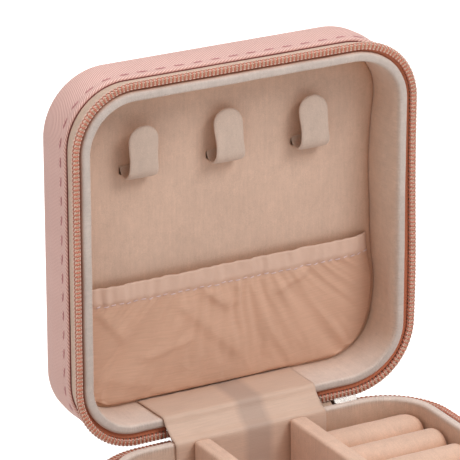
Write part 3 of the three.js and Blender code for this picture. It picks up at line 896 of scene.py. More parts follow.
def tail():
    """The zip's joined end: a wrapped stub with a rib for each last tooth."""
    low, high = tail_span("zip_tail")
    middle, size = (low + high) / 2, (high - low) / 2
    x = np.linspace(low[0], high[0], 45)
    turn = full_turn(24)
    end = np.sqrt(np.clip(1 - (np.abs(x - middle[0]) / size[0]) ** 6, 0.05, 1))
    rib = 1 - 0.10 * (0.5 + 0.5 * np.cos(2 * math.pi * (x - low[0]) / TOOTH_PITCH))
    points = np.empty((len(x), len(turn), 3))
    points[..., 0] = x[:, None]
    for axis, wave in ((1, np.cos(turn)), (2, np.sin(turn))):
        points[..., axis] = middle[axis] + size[axis] * (end * rib)[:, None] * boxy(wave, 0.7)
    uv = grid_uv(x, np.linspace(0, 6, len(turn) + 1))
    piece = grid("zip_tail_stub", at_tail(points), uv, TAPE, loop_v=True)
    return place(piece, "zip_tail", "zip_coil", "zip_tail")


def flat_metal(name, outline_points, y0, y1, holes=(), bevel=0.14):
    """A metal part cut from sheet: an outline in X and Z between two values of Y, with holes and
    soft edges."""
    work = bmesh.new()
    front, back = [[work.verts.new(Vector((x, y, z)) / MM) for x, z in outline_points]
                   for y in (y0, y1)]
    work.faces.new(front)
    work.faces.new(back[::-1])
    for k, here in enumerate(front):
        after = (k + 1) % len(front)
        work.faces.new([here, back[k], back[after], front[after]])
    bmesh.ops.recalc_face_normals(work, faces=work.faces)
    piece = from_work(name, work)
    for hole in holes:
        cut(piece, flat_metal(name + "_cutter", hole, y0 - 1, y1 + 1, bevel=0))
    if bevel:
        modify(piece, "BEVEL", width=bevel / MM, segments=3, limit_method="ANGLE")
        applied(piece)
    return piece


def mirrored(upper, z):
    """The lower half of an outline that is alike on both sides of z."""
    return [(x, 2 * z - value) for x, value in upper[::-1]]


def slider_plate(x0, x1, z, half_width, nose):
    """A slider plate's outline: two rounded shoulders at the nose and a narrower heel."""
    turn = np.linspace(0, math.pi / 2, 14)
    inner = x1 - nose, z + half_width - nose
    top = [(inner[0] + nose * math.sin(t), inner[1] + nose * math.cos(t)) for t in turn]
    heel = [(x0, z + half_width * 0.45), (x0 + 0.5, z + half_width * 0.7)]
    waist = [(x0 + (x1 - x0) * 0.45, z + half_width * 0.82)]
    upper = heel + waist + top
    return upper + mirrored(upper, z)


def joined(name, pieces):
    """One object from several."""
    work = bmesh.new()
    for piece in pieces:
        work.from_mesh(piece.data)
        bpy.data.objects.remove(piece)
    return from_work(name, work)


def plated(piece):
    """Moves a metal piece from the closed case to rest, shades it and gives it its material."""
    points = np.array([vertex.co for vertex in piece.data.vertices]) * MM
    piece.data.vertices.foreach_set("co", (at_tail(points) / MM).astype(np.float32).ravel())
    piece.data.shade_smooth()
    modify(piece, "WEIGHTED_NORMAL", keep_sharp=True)
    piece.data.materials.append(METAL)
    return piece


def slider():
    """The slider: a wide outer plate, a narrow inner one, the post between them and the crown."""
    low, high = tail_span("zipper_slider")
    x, _, z = (low + high) / 2
    plate = 0.6
    crown_rise = 2.2
    back = high[1] - crown_rise
    outer = flat_metal("outer", slider_plate(low[0], high[0], z, 2.2, 1.3), back - 1, back)
    inner = slider_plate(low[0], high[0], z, 1.2, 0.7)
    inner = flat_metal("inner", inner, low[1], low[1] + plate)
    nose = high[0] - 0.6
    post = [(nose - 1.6, z - 0.6), (nose, z - 0.6), (nose, z + 0.6), (nose - 1.6, z + 0.6)]
    stem = flat_metal("post", post, low[1] + plate - 0.1, back - 0.9)
    piece = plated(joined("slider_body", [outer, inner, stem, crown(x, back, z, high[1])]))
    return place(piece, "zipper_slider", "slider_metal", "zipper_slider")


def crown(x, foot, z, top):
    """The arch that the pull hangs from: a flat band bent over the middle of the plate."""
    half_length, half_width, wall_thick, roof_thick = 2.5, 0.7, 0.8, 0.7
    rows = [
        [(x - radius * math.cos(t), foot - 0.15 + rise * (math.sin(t) ** 0.6))
         for t in np.linspace(0, math.pi, 25)]
        for radius, rise in (
            (half_length, top - foot), (half_length - wall_thick, top - foot - roof_thick),
        )
    ]
    band = rows[0] + rows[1][::-1]
    work = bmesh.new()
    rings = [[work.verts.new(Vector((a, b, c)) / MM) for a, b in band]
             for c in (z - half_width, z + half_width)]
    count = len(band)
    for k in range(count):
        after = (k + 1) % count
        work.faces.new([rings[0][k], rings[0][after], rings[1][after], rings[1][k]])
    for ring in rings:
        for k in range(count // 2 - 1):
            work.faces.new([ring[k], ring[k + 1], ring[count - 2 - k], ring[count - 1 - k]])
    bmesh.ops.recalc_face_normals(work, faces=work.faces)
    piece = from_work("crown", work)
    modify(piece, "BEVEL", width=0.12 / MM, segments=2, limit_method="ANGLE", angle_limit=0.9)
    return applied(piece)


def pull():
    """A flat tab with a rounded tip, and a window at its head that loops through the crown."""
    low, high = tail_span("zipper_pull")
    z = (low[2] + high[2]) / 2
    radius = (high[2] - low[2]) / 2
    window, bar, hole_half = 4.1, 0.8, 1.1
    neck = hole_half + 1
    shoulder = high[0] - bar - window
    turn = np.linspace(0, math.pi, 25)
    tip = [(low[0] + radius - radius * math.sin(t), z + radius * math.cos(t)) for t in turn]
    blend = np.linspace(0, 1, 8)[1:-1]
    flare = [(shoulder - 2.4 * t, z + neck + (radius - neck) * smooth(t, 0, 1)) for t in blend]
    upper = [(high[0], z + neck - 0.5), (high[0] - 0.5, z + neck), (shoulder, z + neck)] + flare
    points = upper + tip + mirrored(upper, z)
    hole = [(high[0] - bar, z + hole_half), (high[0] - bar, z - hole_half),
            (shoulder, z - hole_half), (shoulder, z + hole_half)]
    eye = [(low[0] + 2.6 + 0.8 * math.cos(t), z + 0.8 * math.sin(t)) for t in full_turn(20)]
    piece = flat_metal("pull_tab", points, low[1], high[1], holes=(hole, eye))
    return place(plated(piece), "zipper_pull", "slider_metal", "zipper_pull")


# ---------------------------------------------------------------- velvet inside


def lining(half, end):
    """The padded lip along the parting plane and the velvet wall below it, as one closed sleeve."""
    top, round_out = 0.15, 1.15
    low, high, thick = LIP_INSET, WALL_INSET, 0.9
    outer = [(low, 3.0), (low, 2.2)]
    outer += arc((low + round_out, top + round_out), round_out, 180, 270, 8)
    inner = arc((high - 0.85, top + 0.9), 0.88, 285, 360, 8)
    down = [(high, d) for d in np.linspace(2.2, end, 16)]
    back = [(high - thick, end), (high - thick, 3.2)]
    profile = np.array(outer + inner + down + back)
    s = around(1.6)
    points = wall(s, profile[:, 0], profile[:, 1])
    normal = outline(s)[1]
    ripple = waves(points, 11, 4) + 0.5 * waves(points, 4, 5)
    points[..., :2] += 0.10 * ripple[..., None] * normal[:, None]
    lip = 1 - smooth(profile[:, 1], 0.4, 3.0)
    points[..., 2] += 0.07 * waves(points, 9, 6) * lip
    if half == "lid":
        right = np.clip(normal[:, 0], 0, 1) ** 2
        reach = 0.55 + 0.25 * hump(points[..., 1], 20, 24)
        points[..., 0] += reach * right[:, None] * lip
        points = bowed(points)
    uv = ring_uv(s, run_length(np.concatenate([profile, profile[:1]])))
    piece = grid(f"{half}_lining_velvet", at_rest(points, half), uv, LINING_VELVET, True, True)
    return place(rounded(piece), half, "velvet", f"{half}_lining")


def padded_disc(name, half, inset, face, thickness):
    """A velvet-covered pad with the case's outline, whose rim falls away into a crease."""
    s = around(1.6)
    rim = wall(s, [inset], [face])[:, 0]
    scale = np.concatenate([[1.0, 0.994, 0.985, 0.97], np.linspace(0.95, 0, 34)])
    points = rim[:, None] * np.stack([scale, scale, np.ones_like(scale)], -1)
    away = (1 - scale) * (HALF - inset)
    fall = 0.4 * np.exp(-(away / 0.5) ** 1.3)
    plan = points[..., :2]
    points[..., 2] = face + (fall + 0.10 * (waves(plan, 16, 8) + 0.6 * waves(plan, 5, 9)))
    rim = points[:, :1].copy()
    rim[..., 2] = face + thickness
    foot = rim * np.array([0.96, 0.96, 1])
    centre = rim * np.array([0, 0, 1])
    points = np.concatenate([centre, foot, rim, points], 1)
    if half == "lid":
        points = bowed(points)
    uv = ring_uv(s, np.zeros(points.shape[1]))
    return grid(name, at_rest(points, half), uv, PANEL_VELVET, loop_u=True, flat_from=0,
                flat=points[..., :2])


def lid_panel():
    """The lid's velvet-covered card, with a window for each hook."""
    piece = padded_disc("lid_panel_velvet", "lid", PANEL_INSET - 0.14, PANEL_FACE,
                        panel_high[2] - PANEL_FACE)
    for side in ("left", "centre", "right"):
        low, high = closed_span(f"necklace_hook_{side}")
        cut(piece, window_cutter((low[0] + high[0]) / 2, (high[0] - low[0]) / 2 + 0.4, high[1]))
    piece.data.shade_smooth()
    return place(piece, "lid", "velvet", "lid_panel")


def window_cutter(x, half_width, y):
    """A window with rounded corners through the panel, where a hook's leg is set in."""
    turn = full_turn(36)
    middle, half_height = y - 1.85, 1.35
    points = np.empty((2, len(turn), 3))
    points[..., 0] = x + half_width * boxy(np.cos(turn), 0.35)
    points[..., 1] = middle + half_height * boxy(np.sin(turn), 0.35)
    points[..., 2] = [[PANEL_FACE - 2], [panel_high[2] + 2]]
    return grid("window", at_rest(points, "lid"), grid_uv([0, 1], np.arange(len(turn) + 1)),
                PANEL_VELVET, loop_v=True)


def hook_path(low, high, thick, tip):
    """The middle of a hook's strip in y and depth: leg behind the window, round bend, free tab
    whose tip stands at its own depth."""
    leg = high[2] - thick
    bend = 2.8
    centre = high[1] - thick - bend
    start = [(centre - 1.4, leg + 0.45), (centre - 0.7, leg + 0.25)]
    turn = [(centre + bend * math.cos(t), leg - bend + bend * math.sin(t))
            for t in np.radians(np.linspace(90, -90, 15))]
    rise = np.linspace(centre, low[1], 20)[1:]
    tab = leg - 2 * bend
    upper = [(y, tab + (tip - tab) * ((y - centre) / (low[1] - centre)) ** 1.3) for y in rise]
    return np.array(start + turn + upper)


def hook(side):
    """A necklace hook: a stiff velvet-covered tab bent like a J, with its leg set in the panel."""
    low, high = closed_span(f"necklace_hook_{side}")
    x = (low[0] + high[0]) / 2
    half_width = (high[0] - low[0]) / 2
    thick = 0.55
    points = swing(node_points(f"necklace_hook_{side}"), -LID_OPEN, HINGE_Y, HINGE_Z)
    tip_depth = points[points[:, 1] < low[1] + 0.3, 2].mean() - PARTING
    path = hook_path(low, high, thick, tip_depth)
    length = run_length(path)
    total = length[-1]
    t = np.linspace(0, 1, 54)
    along = total * (1 - (1 - t) ** 1.5)
    path = read_at(along, length, path)
    left = total - along
    tip = np.sqrt(np.clip(1 - np.clip(1 - left / (half_width * 0.98), 0, 1) ** 2, 0.0, 1))
    pinch = 1 - 0.06 * hump(left, 9.5, 3.0) + 0.03 * hump(left, 14.5, 3.0)
    width = half_width * pinch * tip
    body = thick * np.sqrt(np.clip(1 - np.clip(1 - left, 0, 1) ** 2, 0.0, 1))
    normal = path_normals(path)
    ring = full_turn(36)
    across, through = boxy(np.cos(ring), 0.45), boxy(np.sin(ring), 0.8)
    points = np.empty((len(t), len(ring), 3))
    points[..., 0] = x + width[:, None] * across
    cup = 0.3 * across ** 2 * smooth(along, total - 11, total - 5)[:, None]
    offset = body[:, None] * through - cup
    for k in (0, 1):
        points[..., 1 + k] = path[:, k:k + 1] + normal[:, k:k + 1] * offset
    points[..., 2] += 0.05 * waves(points, 4, 11)
    uv = np.stack(np.broadcast_arrays(np.arange(37) * 0.55, along[:, None]), -1)
    piece = grid(f"hook_{side}_velvet", at_rest(points, "lid"), uv, HOOK_VELVET, loop_v=True)
    return place(piece, "lid", "velvet", f"necklace_hook_{side}")


# ---------------------------------------------------------------- pocket

POCKET_LOW, POCKET_HIGH = closed_span("pocket")
POCKET_INSET = HALF - POCKET_HIGH[0]
HEM_HEIGHT = 5.5
COLUMNS, ROWS = 150, 66
CLOTH_SCALE = 20  # the simulation runs at this many times the real size
CLOTH_FRAMES = 36
MOST_MOVED = 3.0  # how far the simulation may move a point


def pocket_rest():
    """The pocket sheet before it is gathered: columns across, rows from the foot to the top. The
    elastic pulls the hem's right end in, so the sheet is narrower there."""
    foot = HALF - POCKET_HIGH[1]
    top = HALF - POCKET_LOW[1]
    v = np.linspace(foot, top, ROWS)
    radius = CORNER - POCKET_INSET
    drop = np.clip(CORNER - v, 0, radius)
    half_width = STRAIGHT + np.sqrt(radius ** 2 - drop ** 2)
    pulled = 0.8 * smooth(v, top - 14, top - 2)
    t = np.linspace(-1, 1, COLUMNS)
    reach = np.where(t[:, None] > 0, half_width - pulled, half_width)
    x = t[:, None] * reach
    height = np.broadcast_to(v, x.shape)
    edge = np.minimum(reach - np.abs(x), height - foot)
    swell = 1 - np.exp(-np.clip(edge, 0, None) / 2.4)
    hem = smooth(height, top - HEM_HEIGHT - 1.5, top - HEM_HEIGHT + 1)
    at_side = smooth(reach - np.abs(x), 0, 9)
    depth = PANEL_FACE - 0.25 - 2.5 * swell - 0.5 * hem * at_side
    return np.stack([x, HALF - height, depth], -1), height, edge


def gathered(points, height, edge):
    """The first small puckers along the hem and its stitch line, which the cloth grows from."""
    x = points[..., 0]
    top = height.max()
    stitch_line = top - HEM_HEIGHT
    inside = smooth(edge, 0.0, 3.0)
    warp = x + 1.2 * waves(np.stack([x / 3, height], -1), 7, 21)
    pucker = waves(np.stack([warp, height * 0.18], -1), 1.9, 22)
    near = np.where(height > stitch_line, 1.0, np.exp((height - stitch_line) / 4.0))
    groove = 0.45 * hump(height, stitch_line, 0.8)
    lift = 0.75 * pucker * near - groove
    result = points.copy()
    result[..., 2] -= inside * lift
    result[..., 2] = np.minimum(result[..., 2], PANEL_FACE - 0.15)
    return result


def wider(points, height, share):
    """The sheet's own shape: cut wider than it stands, most just below the hem."""
    line = height.max() - HEM_HEIGHT
    result = points.copy()
    result[..., 0] *= 1 + share * np.exp(-np.abs(height - line) / 4.5) + 0.005
    return result


def settled(points, unstressed, held):
    """The cloth cut to an unstressed shape, drawn in at its held edges and settled in front of
    the panel."""
    scale = CLOTH_SCALE / MM
    columns, rows = points.shape[:2]
    no_uv = np.zeros((columns, rows, 2))
    work = grid("cloth", unstressed * CLOTH_SCALE, no_uv, SATIN, fill=False)
    flat = points.reshape(-1, 3)
    work.shape_key_add(name="cut")
    standing = work.shape_key_add(name="standing")
    standing.data.foreach_set("co", (flat * scale).astype(np.float32).ravel())
    for share, at in ((0.0, 1), (1.0, CLOTH_FRAMES // 2)):
        standing.value = share
        standing.keyframe_insert("value", frame=at)
    group = work.vertex_groups.new(name="held")
    group.add(np.flatnonzero(held.ravel()).tolist(), 1.0, "REPLACE")
    low, high = flat.min(0) - 5, flat.max(0) + 5
    x, y = [np.linspace(low[k], high[k], 3) for k in (0, 1)]
    stop = np.stack(np.broadcast_arrays(x[:, None], y, PANEL_FACE), -1)
    back = grid("cloth_stop", stop * CLOTH_SCALE, np.zeros((3, 3, 2)), SATIN, fill=False)
    modify(back, "COLLISION")
    back.collision.thickness_outer = 0.002
    back.collision.thickness_inner = 0.002
    back.collision.use_culling = False
    cloth = modify(work, "CLOTH")
    cloth.point_cache.frame_end = CLOTH_FRAMES
    values = {
        "quality": 6, "mass": 0.25, "tension_stiffness": 12, "compression_stiffness": 12,
        "shear_stiffness": 4, "bending_stiffness": 0.05, "tension_damping": 8,
        "compression_damping": 8, "bending_damping": 0.6, "air_damping": 2,
        "vertex_group_mass": "held",
    }
    for key, value in values.items():
        setattr(cloth.settings, key, value)
    cloth.settings.effector_weights.gravity = 0
    cloth.collision_settings.distance_min = 0.004
    scene = bpy.context.scene
    for number in range(1, CLOTH_FRAMES + 1):
        scene.frame_set(number)
    mesh = work.evaluated_get(bpy.context.evaluated_depsgraph_get()).to_mesh()
    moved = np.array([vertex.co for vertex in mesh.vertices]) / scale
    moved = flat + np.clip(moved - flat, -MOST_MOVED, MOST_MOVED)
    bpy.data.objects.remove(work)
    bpy.data.objects.remove(back)
    scene.frame_set(1)
    result = moved.reshape(points.shape)
    result[..., 2] = np.clip(result[..., 2], PANEL_FACE - 6.0, PANEL_FACE - 0.2)
    return result


# soft folds: from x and height, to x and height, width, lift
FOLDS = (
    (-16, 33, 5, 13, 3.4, 0.55), (-38, 33, -31, 24, 2.6, 0.5), (-5, 33, -1, 29.5, 2.6, 0.9),
    (4, 34, 3, 29, 2.0, 0.6), (15, 32, 38, 10, 5.5, 0.6), (26, 34, 15, 29.5, 2.2, 0.5),
    (-27, 17, -9, 21, 1.8, 0.4), (-40, 14, -22, 9, 3.5, 0.35),
)


def fold(x, height, x0, height0, x1, height1, width, lift):
    """A soft fold between two points, steeper on its lower side and fading at both ends."""
    dx, dh = x1 - x0, height1 - height0
    length = math.hypot(dx, dh)
    along = ((x - x0) * dx + (height - height0) * dh) / length ** 2
    across = ((x - x0) * dh - (height - height0) * dx) / length
    across = across * math.copysign(1, dx)
    near_end = np.maximum(np.abs(along - 0.5) - 0.35, 0) * length / width
    steep = np.where(across > 0, 0.5, 1.0)
    return lift * np.exp(-(across / (width * steep)) ** 2 - near_end ** 2)


def pocket_sheet():
    """The front of the pocket with its folds, and each point's height."""
    points, height, edge = pocket_rest()
    front = gathered(points, height, edge)
    held = (edge < 0.4) | (height > height.max() - HEM_HEIGHT - 0.2)
    front = settled(front, wider(front, height, 0.055), held)
    lift = sum(fold(points[..., 0], height, *measures) for measures in FOLDS)
    front[..., 2] -= lift * smooth(edge, 0.0, 5.0)
    front[..., 2] = np.minimum(front[..., 2], PANEL_FACE - 0.2)
    return bowed(front), height


def pocket():
    """The pocket: its sheet made double, thicker at the hem, with stitches and elastic."""
    front, height = pocket_sheet()
    top = height.max()
    normal = unit(np.cross(np.gradient(front, axis=0), np.gradient(front, axis=1)))
    normal *= np.sign(normal[..., 2:])
    hem = smooth(height, top - HEM_HEIGHT + 0.1, top - HEM_HEIGHT + 1.8)
    side = smooth(HALF - POCKET_INSET - np.abs(front[..., 0]), 0, 4)
    thick = 0.3 + 1.1 * hem * side * np.sqrt(np.clip((top + 0.2 - height) / 2, 0, 1))
    back = front + normal * thick[..., None]
    back[..., 2] = np.minimum(back[..., 2], PANEL_FACE + 0.1)
    points = np.concatenate([front, back[:, ::-1]], 1)
    over = 2 * top - height
    up = np.concatenate([height, over[:, ::-1] + 0.5, over[:, :1] + 1], 1)
    x = np.concatenate([front[..., 0], front[:, ::-1, 0], front[:, :1, 0]], 1)
    uv = np.stack([x, up], -1)
    piece = grid("pocket_satin", at_rest(points, "lid"), uv, SATIN, loop_v=True)
    place(rounded(piece), "lid", "satin", "pocket")
    pocket_stitches(front, height, top - HEM_HEIGHT)
    pocket_elastic(front, thick, height, top - HEM_HEIGHT / 2)


def pocket_stitches(front, height, line):
    """Pale stitches that hold the hem, laid on the gathered sheet."""
    path = front[:, int(np.argmin(np.abs(height[0] - line)))]
    x = path[:, 0]
    runs = []
    pitch, length = 2.2, 1.5
    t = np.linspace(0, 1, 7)
    end = (2 * t - 1) ** 6
    radii = 0.15 * np.sqrt(np.clip(1 - end, 0.05, 1))
    for start in np.arange(x[0] + 1, x[-1] - 2, pitch):
        points = read_at(start + length * t, x, path)
        points[:, 1] += 0.15 * np.sin(start) - 0.2 * (t - 0.5)
        points[:, 2] -= 0.20 - 0.3 * end
        runs.append(run_at_rest(points, [0, 0, -1], radii, "lid"))
    place(tubes("pocket_stitching", runs, POCKET_THREAD, 6), "lid", "satin")


def pocket_elastic(front, thick, height, line):
    """The elastic inside the hem, thinner towards both ends."""
    row = int(np.argmin(np.abs(height[0] - line)))
    path, thick = front[3:-3, row].copy(), thick[3:-3, row]
    path[:, 2] += thick / 2
    along = np.linspace(-1, 1, len(path))
    half_height = 1.7 * np.sqrt(np.clip(1 - along ** 10, 0.02, 1))
    turn = full_turn(16)
    points = np.repeat(path[:, None], len(turn), 1)
    points[..., 1] += half_height[:, None] * np.cos(turn)
    points[..., 2] += np.minimum(0.22, thick * 0.3)[:, None] * np.sin(turn)
    uv = grid_uv(path[:, 0], np.linspace(0, 7, len(turn) + 1))
    piece = grid("pocket_elastic_band", at_rest(points, "lid"), uv, ELASTIC, loop_v=True)
    place(piece, "lid", "elastic", "pocket_elastic")


# ---------------------------------------------------------------- across the hinge


def lid_rest_yz(inset, depth):
    """Rest y and z of a lid point given by its inset from the back face and its depth."""
    point = at_rest([[0, HALF - inset, depth]], "lid")[0]
    return point[1], point[2]


def resampled(path, step):
    """The path with its points evenly spaced, about step apart."""
    path = np.array(path, float)
    length = run_length(path)
    return read_at(np.linspace(0, length[-1], int(length[-1] / step) + 1), length, path)


def softened(path, passes=3):
    """The path with its corners eased."""
    for _ in range(passes):
        path[1:-1] = 0.25 * path[:-2] + 0.5 * path[1:-1] + 0.25 * path[2:]
    return path


def strap(name, path, x0, x1, thickness, material, ripple, seed):
    """A strip of cloth or leather whose middle follows a path in y and z, from x0 to x1; both may
    change along the path."""
    normal = path_normals(path)
    length = run_length(path)
    t = np.linspace(0, 1, 56)
    x0, x1 = [np.broadcast_to(value, length.shape)[:, None] for value in (x0, x1)]
    x = x0 + (x1 - x0) * t
    field = np.stack(np.broadcast_arrays(x, length[:, None]), -1)
    lift = ripple * (waves(field * [0.4, 1], 6, seed) + 0.5 * waves(field, 4, seed + 1))
    wander = 0.25 * waves(field, 12, seed + 2) * ((2 * t - 1) ** 4)
    middle = np.empty(field.shape[:2] + (3,))
    middle[..., 0] = x + wander
    for k in (0, 1):
        middle[..., 1 + k] = path[:, k:k + 1] + normal[:, k:k + 1] * lift
    out = np.concatenate([np.zeros((len(path), 1)), normal], 1)[:, None] * thickness / 2
    points = np.concatenate([middle + out, (middle - out)[:, ::-1]], 1)
    both = np.concatenate([x, x[:, ::-1], x[:, :1]], 1)
    uv = np.stack(np.broadcast_arrays(both, length[:, None]), -1)
    return grid(name, points, uv, material, loop_v=True)


def bridge(piece, node, start, end):
    """Hides a strip's CAD node and bakes its placement into its mesh; the two points (y and z) are
    turned to metres and go no further.
    """
    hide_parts(node)
    start, end = [(0, point[0] / MM, point[1] / MM) for point in (start, end)]
    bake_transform(piece)


def ribbon():
    """Satin ribbon from the base's floor up its back wall, over both lips and down to the lid's
    panel."""
    low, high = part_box("hinge_ribbon")
    x0, x1 = low.x * MM, high.x * MM
    inset = PANEL_INSET + 0.22
    wall_y = HALF - inset
    proud = -0.34
    turn = 0.8
    start = [(wall_y, low.z * MM), (wall_y, PARTING - proud - turn)]
    base_turn = [(wall_y + turn - turn * math.cos(t), PARTING - proud - turn + turn * math.sin(t))
                 for t in np.radians(np.linspace(15, 90, 6))]
    over = [(HALF - LIP_INSET - 1.2, PARTING - proud)]
    lid_over = [lid_rest_yz(LIP_INSET + 1.2, proud)]
    lid_turn = [lid_rest_yz(inset - turn + turn * math.sin(t), proud + turn - turn * math.cos(t))
                for t in np.radians(np.linspace(0, 75, 6))]
    end = [lid_rest_yz(inset, proud + turn + 0.2), lid_rest_yz(inset, PANEL_FACE - 0.4)]
    path = softened(resampled(start + base_turn + over + lid_over + lid_turn + end, 0.55))
    share = run_length(path)
    share /= share[-1]
    left = np.interp(share, [0, 0.45, 0.65, 1], [x0 - 0.6, x0 + 0.1, x0 - 0.6, x0 - 1.9])
    right = np.interp(share, [0, 0.5, 1], [x1, x1, x1 - 1.0])
    piece = strap("ribbon_satin", path, left, right, 0.26, RIBBON, 0.2, 31)
    bridge(piece, "hinge_ribbon", over[0], lid_over[0])


def spine():
    """The leather hinge strip, tucked under both covers."""
    inset = TAPE_INSET + 0.2
    tuck = LEATHER_EDGE + 4
    edge = lid_rest_yz(inset, LEATHER_EDGE + 0.2)
    first = (HALF - inset, PARTING - LEATHER_EDGE + 0.2)
    t = np.linspace(0, 1, 12)[:, None]
    out, back = (HALF - inset + 1, PARTING - 1.6), (edge[0] - 2.4, edge[1] - 1)
    controls = np.array([first, out, back, edge])
    weights = [(1 - t) ** 3, 3 * t * (1 - t) ** 2, 3 * t ** 2 * (1 - t), t ** 3]
    bend = sum(weight * control for weight, control in zip(weights, controls))
    path = [(HALF - inset, PARTING - tuck)] + bend.tolist() + [lid_rest_yz(inset, tuck)]
    low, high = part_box("hinge_spine")
    piece = strap("spine_leather", softened(resampled(path, 0.5)), low.x * MM, high.x * MM, 0.5,
                  LEATHER, 0.05, 41)
    bridge(piece, "hinge_spine", first, edge)


# ---------------------------------------------------------------- inside the base


def box_grid(low, high, radius, step):
    """A box with rounded edges as points, faces and corner UVs, in a grid about step apart."""
    low, high, radius = np.array(low, float), np.array(high, float), float(radius)
    lines = []
    for a, b in zip(low, high):
        bend = radius * (1 - np.cos(np.linspace(0, math.pi / 2, 5)))
        inner = np.linspace(a + radius, b - radius, max(2, int((b - a - 2 * radius) / step) + 1))
        lines.append(np.concatenate([a + bend[:-1], inner, (b - bend[:-1])[::-1]]))
    points, faces, corner_uv = [], [], []
    start = 0
    for axis in range(3):
        u, v = [k for k in range(3) if k != axis]
        for value in (low[axis], high[axis]):
            a, b = np.meshgrid(lines[u], lines[v], indexing="ij")
            sheet = np.empty(a.shape + (3,))
            sheet[..., axis], sheet[..., u], sheet[..., v] = value, a, b
            inside = np.clip(sheet, low + radius, high - radius)
            away = sheet - inside
            reach = np.linalg.norm(away, axis=-1)[..., None]
            points.append((inside + radius * away / np.maximum(reach, 1e-9)).reshape(-1, 3))
            rows, columns = a.shape
            corners = cells(rows - 1, columns - 1)
            faces.append(np.stack([start + p * columns + q for p, q in corners], -1))
            corner_uv.append(np.stack([np.stack([a[p, q], b[p, q]], -1) for p, q in corners], 1))
            start += rows * columns
    return np.concatenate(points), np.concatenate(faces).tolist(), np.concatenate(corner_uv)


def divider(side, seed):
    """A velvet-covered board that stands front to back."""
    low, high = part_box(f"divider_{side}")
    points, faces, uv = box_grid(Vector(low) * MM, Vector(high) * MM, 1.0, 1.6)
    middle = (low.x + high.x) / 2 * MM
    plan = points * [0, 1, 1]
    bulge = 0.12 * waves(plan, 12, seed) + 0.05 * waves(points, 3, seed + 1)
    points[:, 0] += np.sign(points[:, 0] - middle) * bulge - 0.05 * waves(plan, 30, seed)
    piece = mesh_object(f"divider_{side}_velvet", points, faces, uv, PEACH)
    return place(rounded(piece), f"divider_{side}", "peach_velvet", f"divider_{side}")


def ring_roll(number):
    """A stuffed roll with a round top; both ends are puckered in."""
    node = f"ring_roll_{number}"
    low, high = [np.array(corner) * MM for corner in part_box(node)]
    radius = (high[1] - low[1]) / 2
    y = (low[1] + high[1]) / 2
    right = HALF - PANEL_INSET - 0.3
    turn = np.radians(np.linspace(-90, 270, 49))[:-1]
    spread = boxy(np.cos(turn), 0.9)
    rise = np.sin(turn)
    centre = high[2] - radius
    t = np.linspace(0, 1, 44)
    length = right - low[0]
    pucker = 1.9
    from_end = np.minimum(t, 1 - t) * length
    close = np.sqrt(np.clip(1 - (1 - np.clip(from_end / pucker, 0, 1)) ** 2, 0, 1))
    shrink = 1 - pucker / radius * (1 - close)
    points = np.empty((len(t), len(turn), 3))
    points[..., 1] = y + (radius - 0.12) * spread * shrink[:, None]
    upper = rise * radius * shrink[:, None]
    squared = -(np.abs(rise) ** 0.35) * (centre - low[2])
    points[..., 2] = centre + np.where(rise >= 0, upper, squared * shrink[:, None])
    bend = CORNER - PANEL_INSET - 0.3
    corner = np.clip(np.abs(points[..., 1]) - STRAIGHT, 0, None)
    reach = np.minimum(right, STRAIGHT + np.sqrt(np.clip(bend ** 2 - corner ** 2, 4, None)))
    points[..., 0] = low[0] + t[:, None] * (reach - low[0])
    points[..., 1:] += 0.10 * waves(points, 7, 50 + number)[..., None]
    caps = []
    for end in (points[0], points[-1]):
        middle = end.mean(0, keepdims=True)
        caps.append([middle + (end - middle) * share for share in (0.0, 0.5)])
    points = np.concatenate([caps[0], points, caps[1][::-1]])
    along = np.concatenate([[-2, -1], t * length, [length + 1, length + 2]])
    uv = grid_uv(along, np.arange(len(turn) + 1) * 0.75)
    piece = grid(f"ring_roll_{number}_velvet", splayed(points), uv, PEACH, loop_v=True)
    return place(piece, "base", "peach_velvet", node)


# ---------------------------------------------------------------- the case


def board(half):
    """The stiff board shell between the leather and the velvet, as wide as the splayed case."""
    name = f"{half}_board"
    low, high = closed_span(name, half == "lid")
    inset, thick, round_out = HALF - high[0], 1.35, 0.9
    rim, end = low[2], high[2]
    outer = [(inset, rim), (inset, rim + 3)]
    outer += arc((inset + round_out, end - round_out), round_out, 180, 90, 5)
    inner = [(inset + thick, end - thick), (inset + thick, rim + 3), (inset + thick, rim)]
    s = around(2.4)
    out, back = [wall(s, *np.array(profile).T) for profile in (outer, inner)]
    if half == "lid":
        back += 0.6 * (bowed(back) - back)
    scale = np.linspace(0.8, 0, 5)[:, None] * [1, 1, 0] + [0, 0, 1]
    points = np.concatenate([out, out[:, -1:] * scale, back[:, :1] * scale[::-1], back], 1)
    uv = ring_uv(s, np.arange(points.shape[1] + 1) * 3.0)
    piece = grid(f"{half}_board_shell", at_rest(points, half), uv, BOARD, True, True)
    return place(piece, half, "board", name)


def kept_nodes():
    """Hidden layers that keep their CAD shape get their own materials."""
    for name, material in {"ring_card": BOARD, "lid_foam_pad": FOAM}.items():
        mesh = frame["nodes"][name].data
        mesh.materials.clear()
        mesh.materials.append(material)


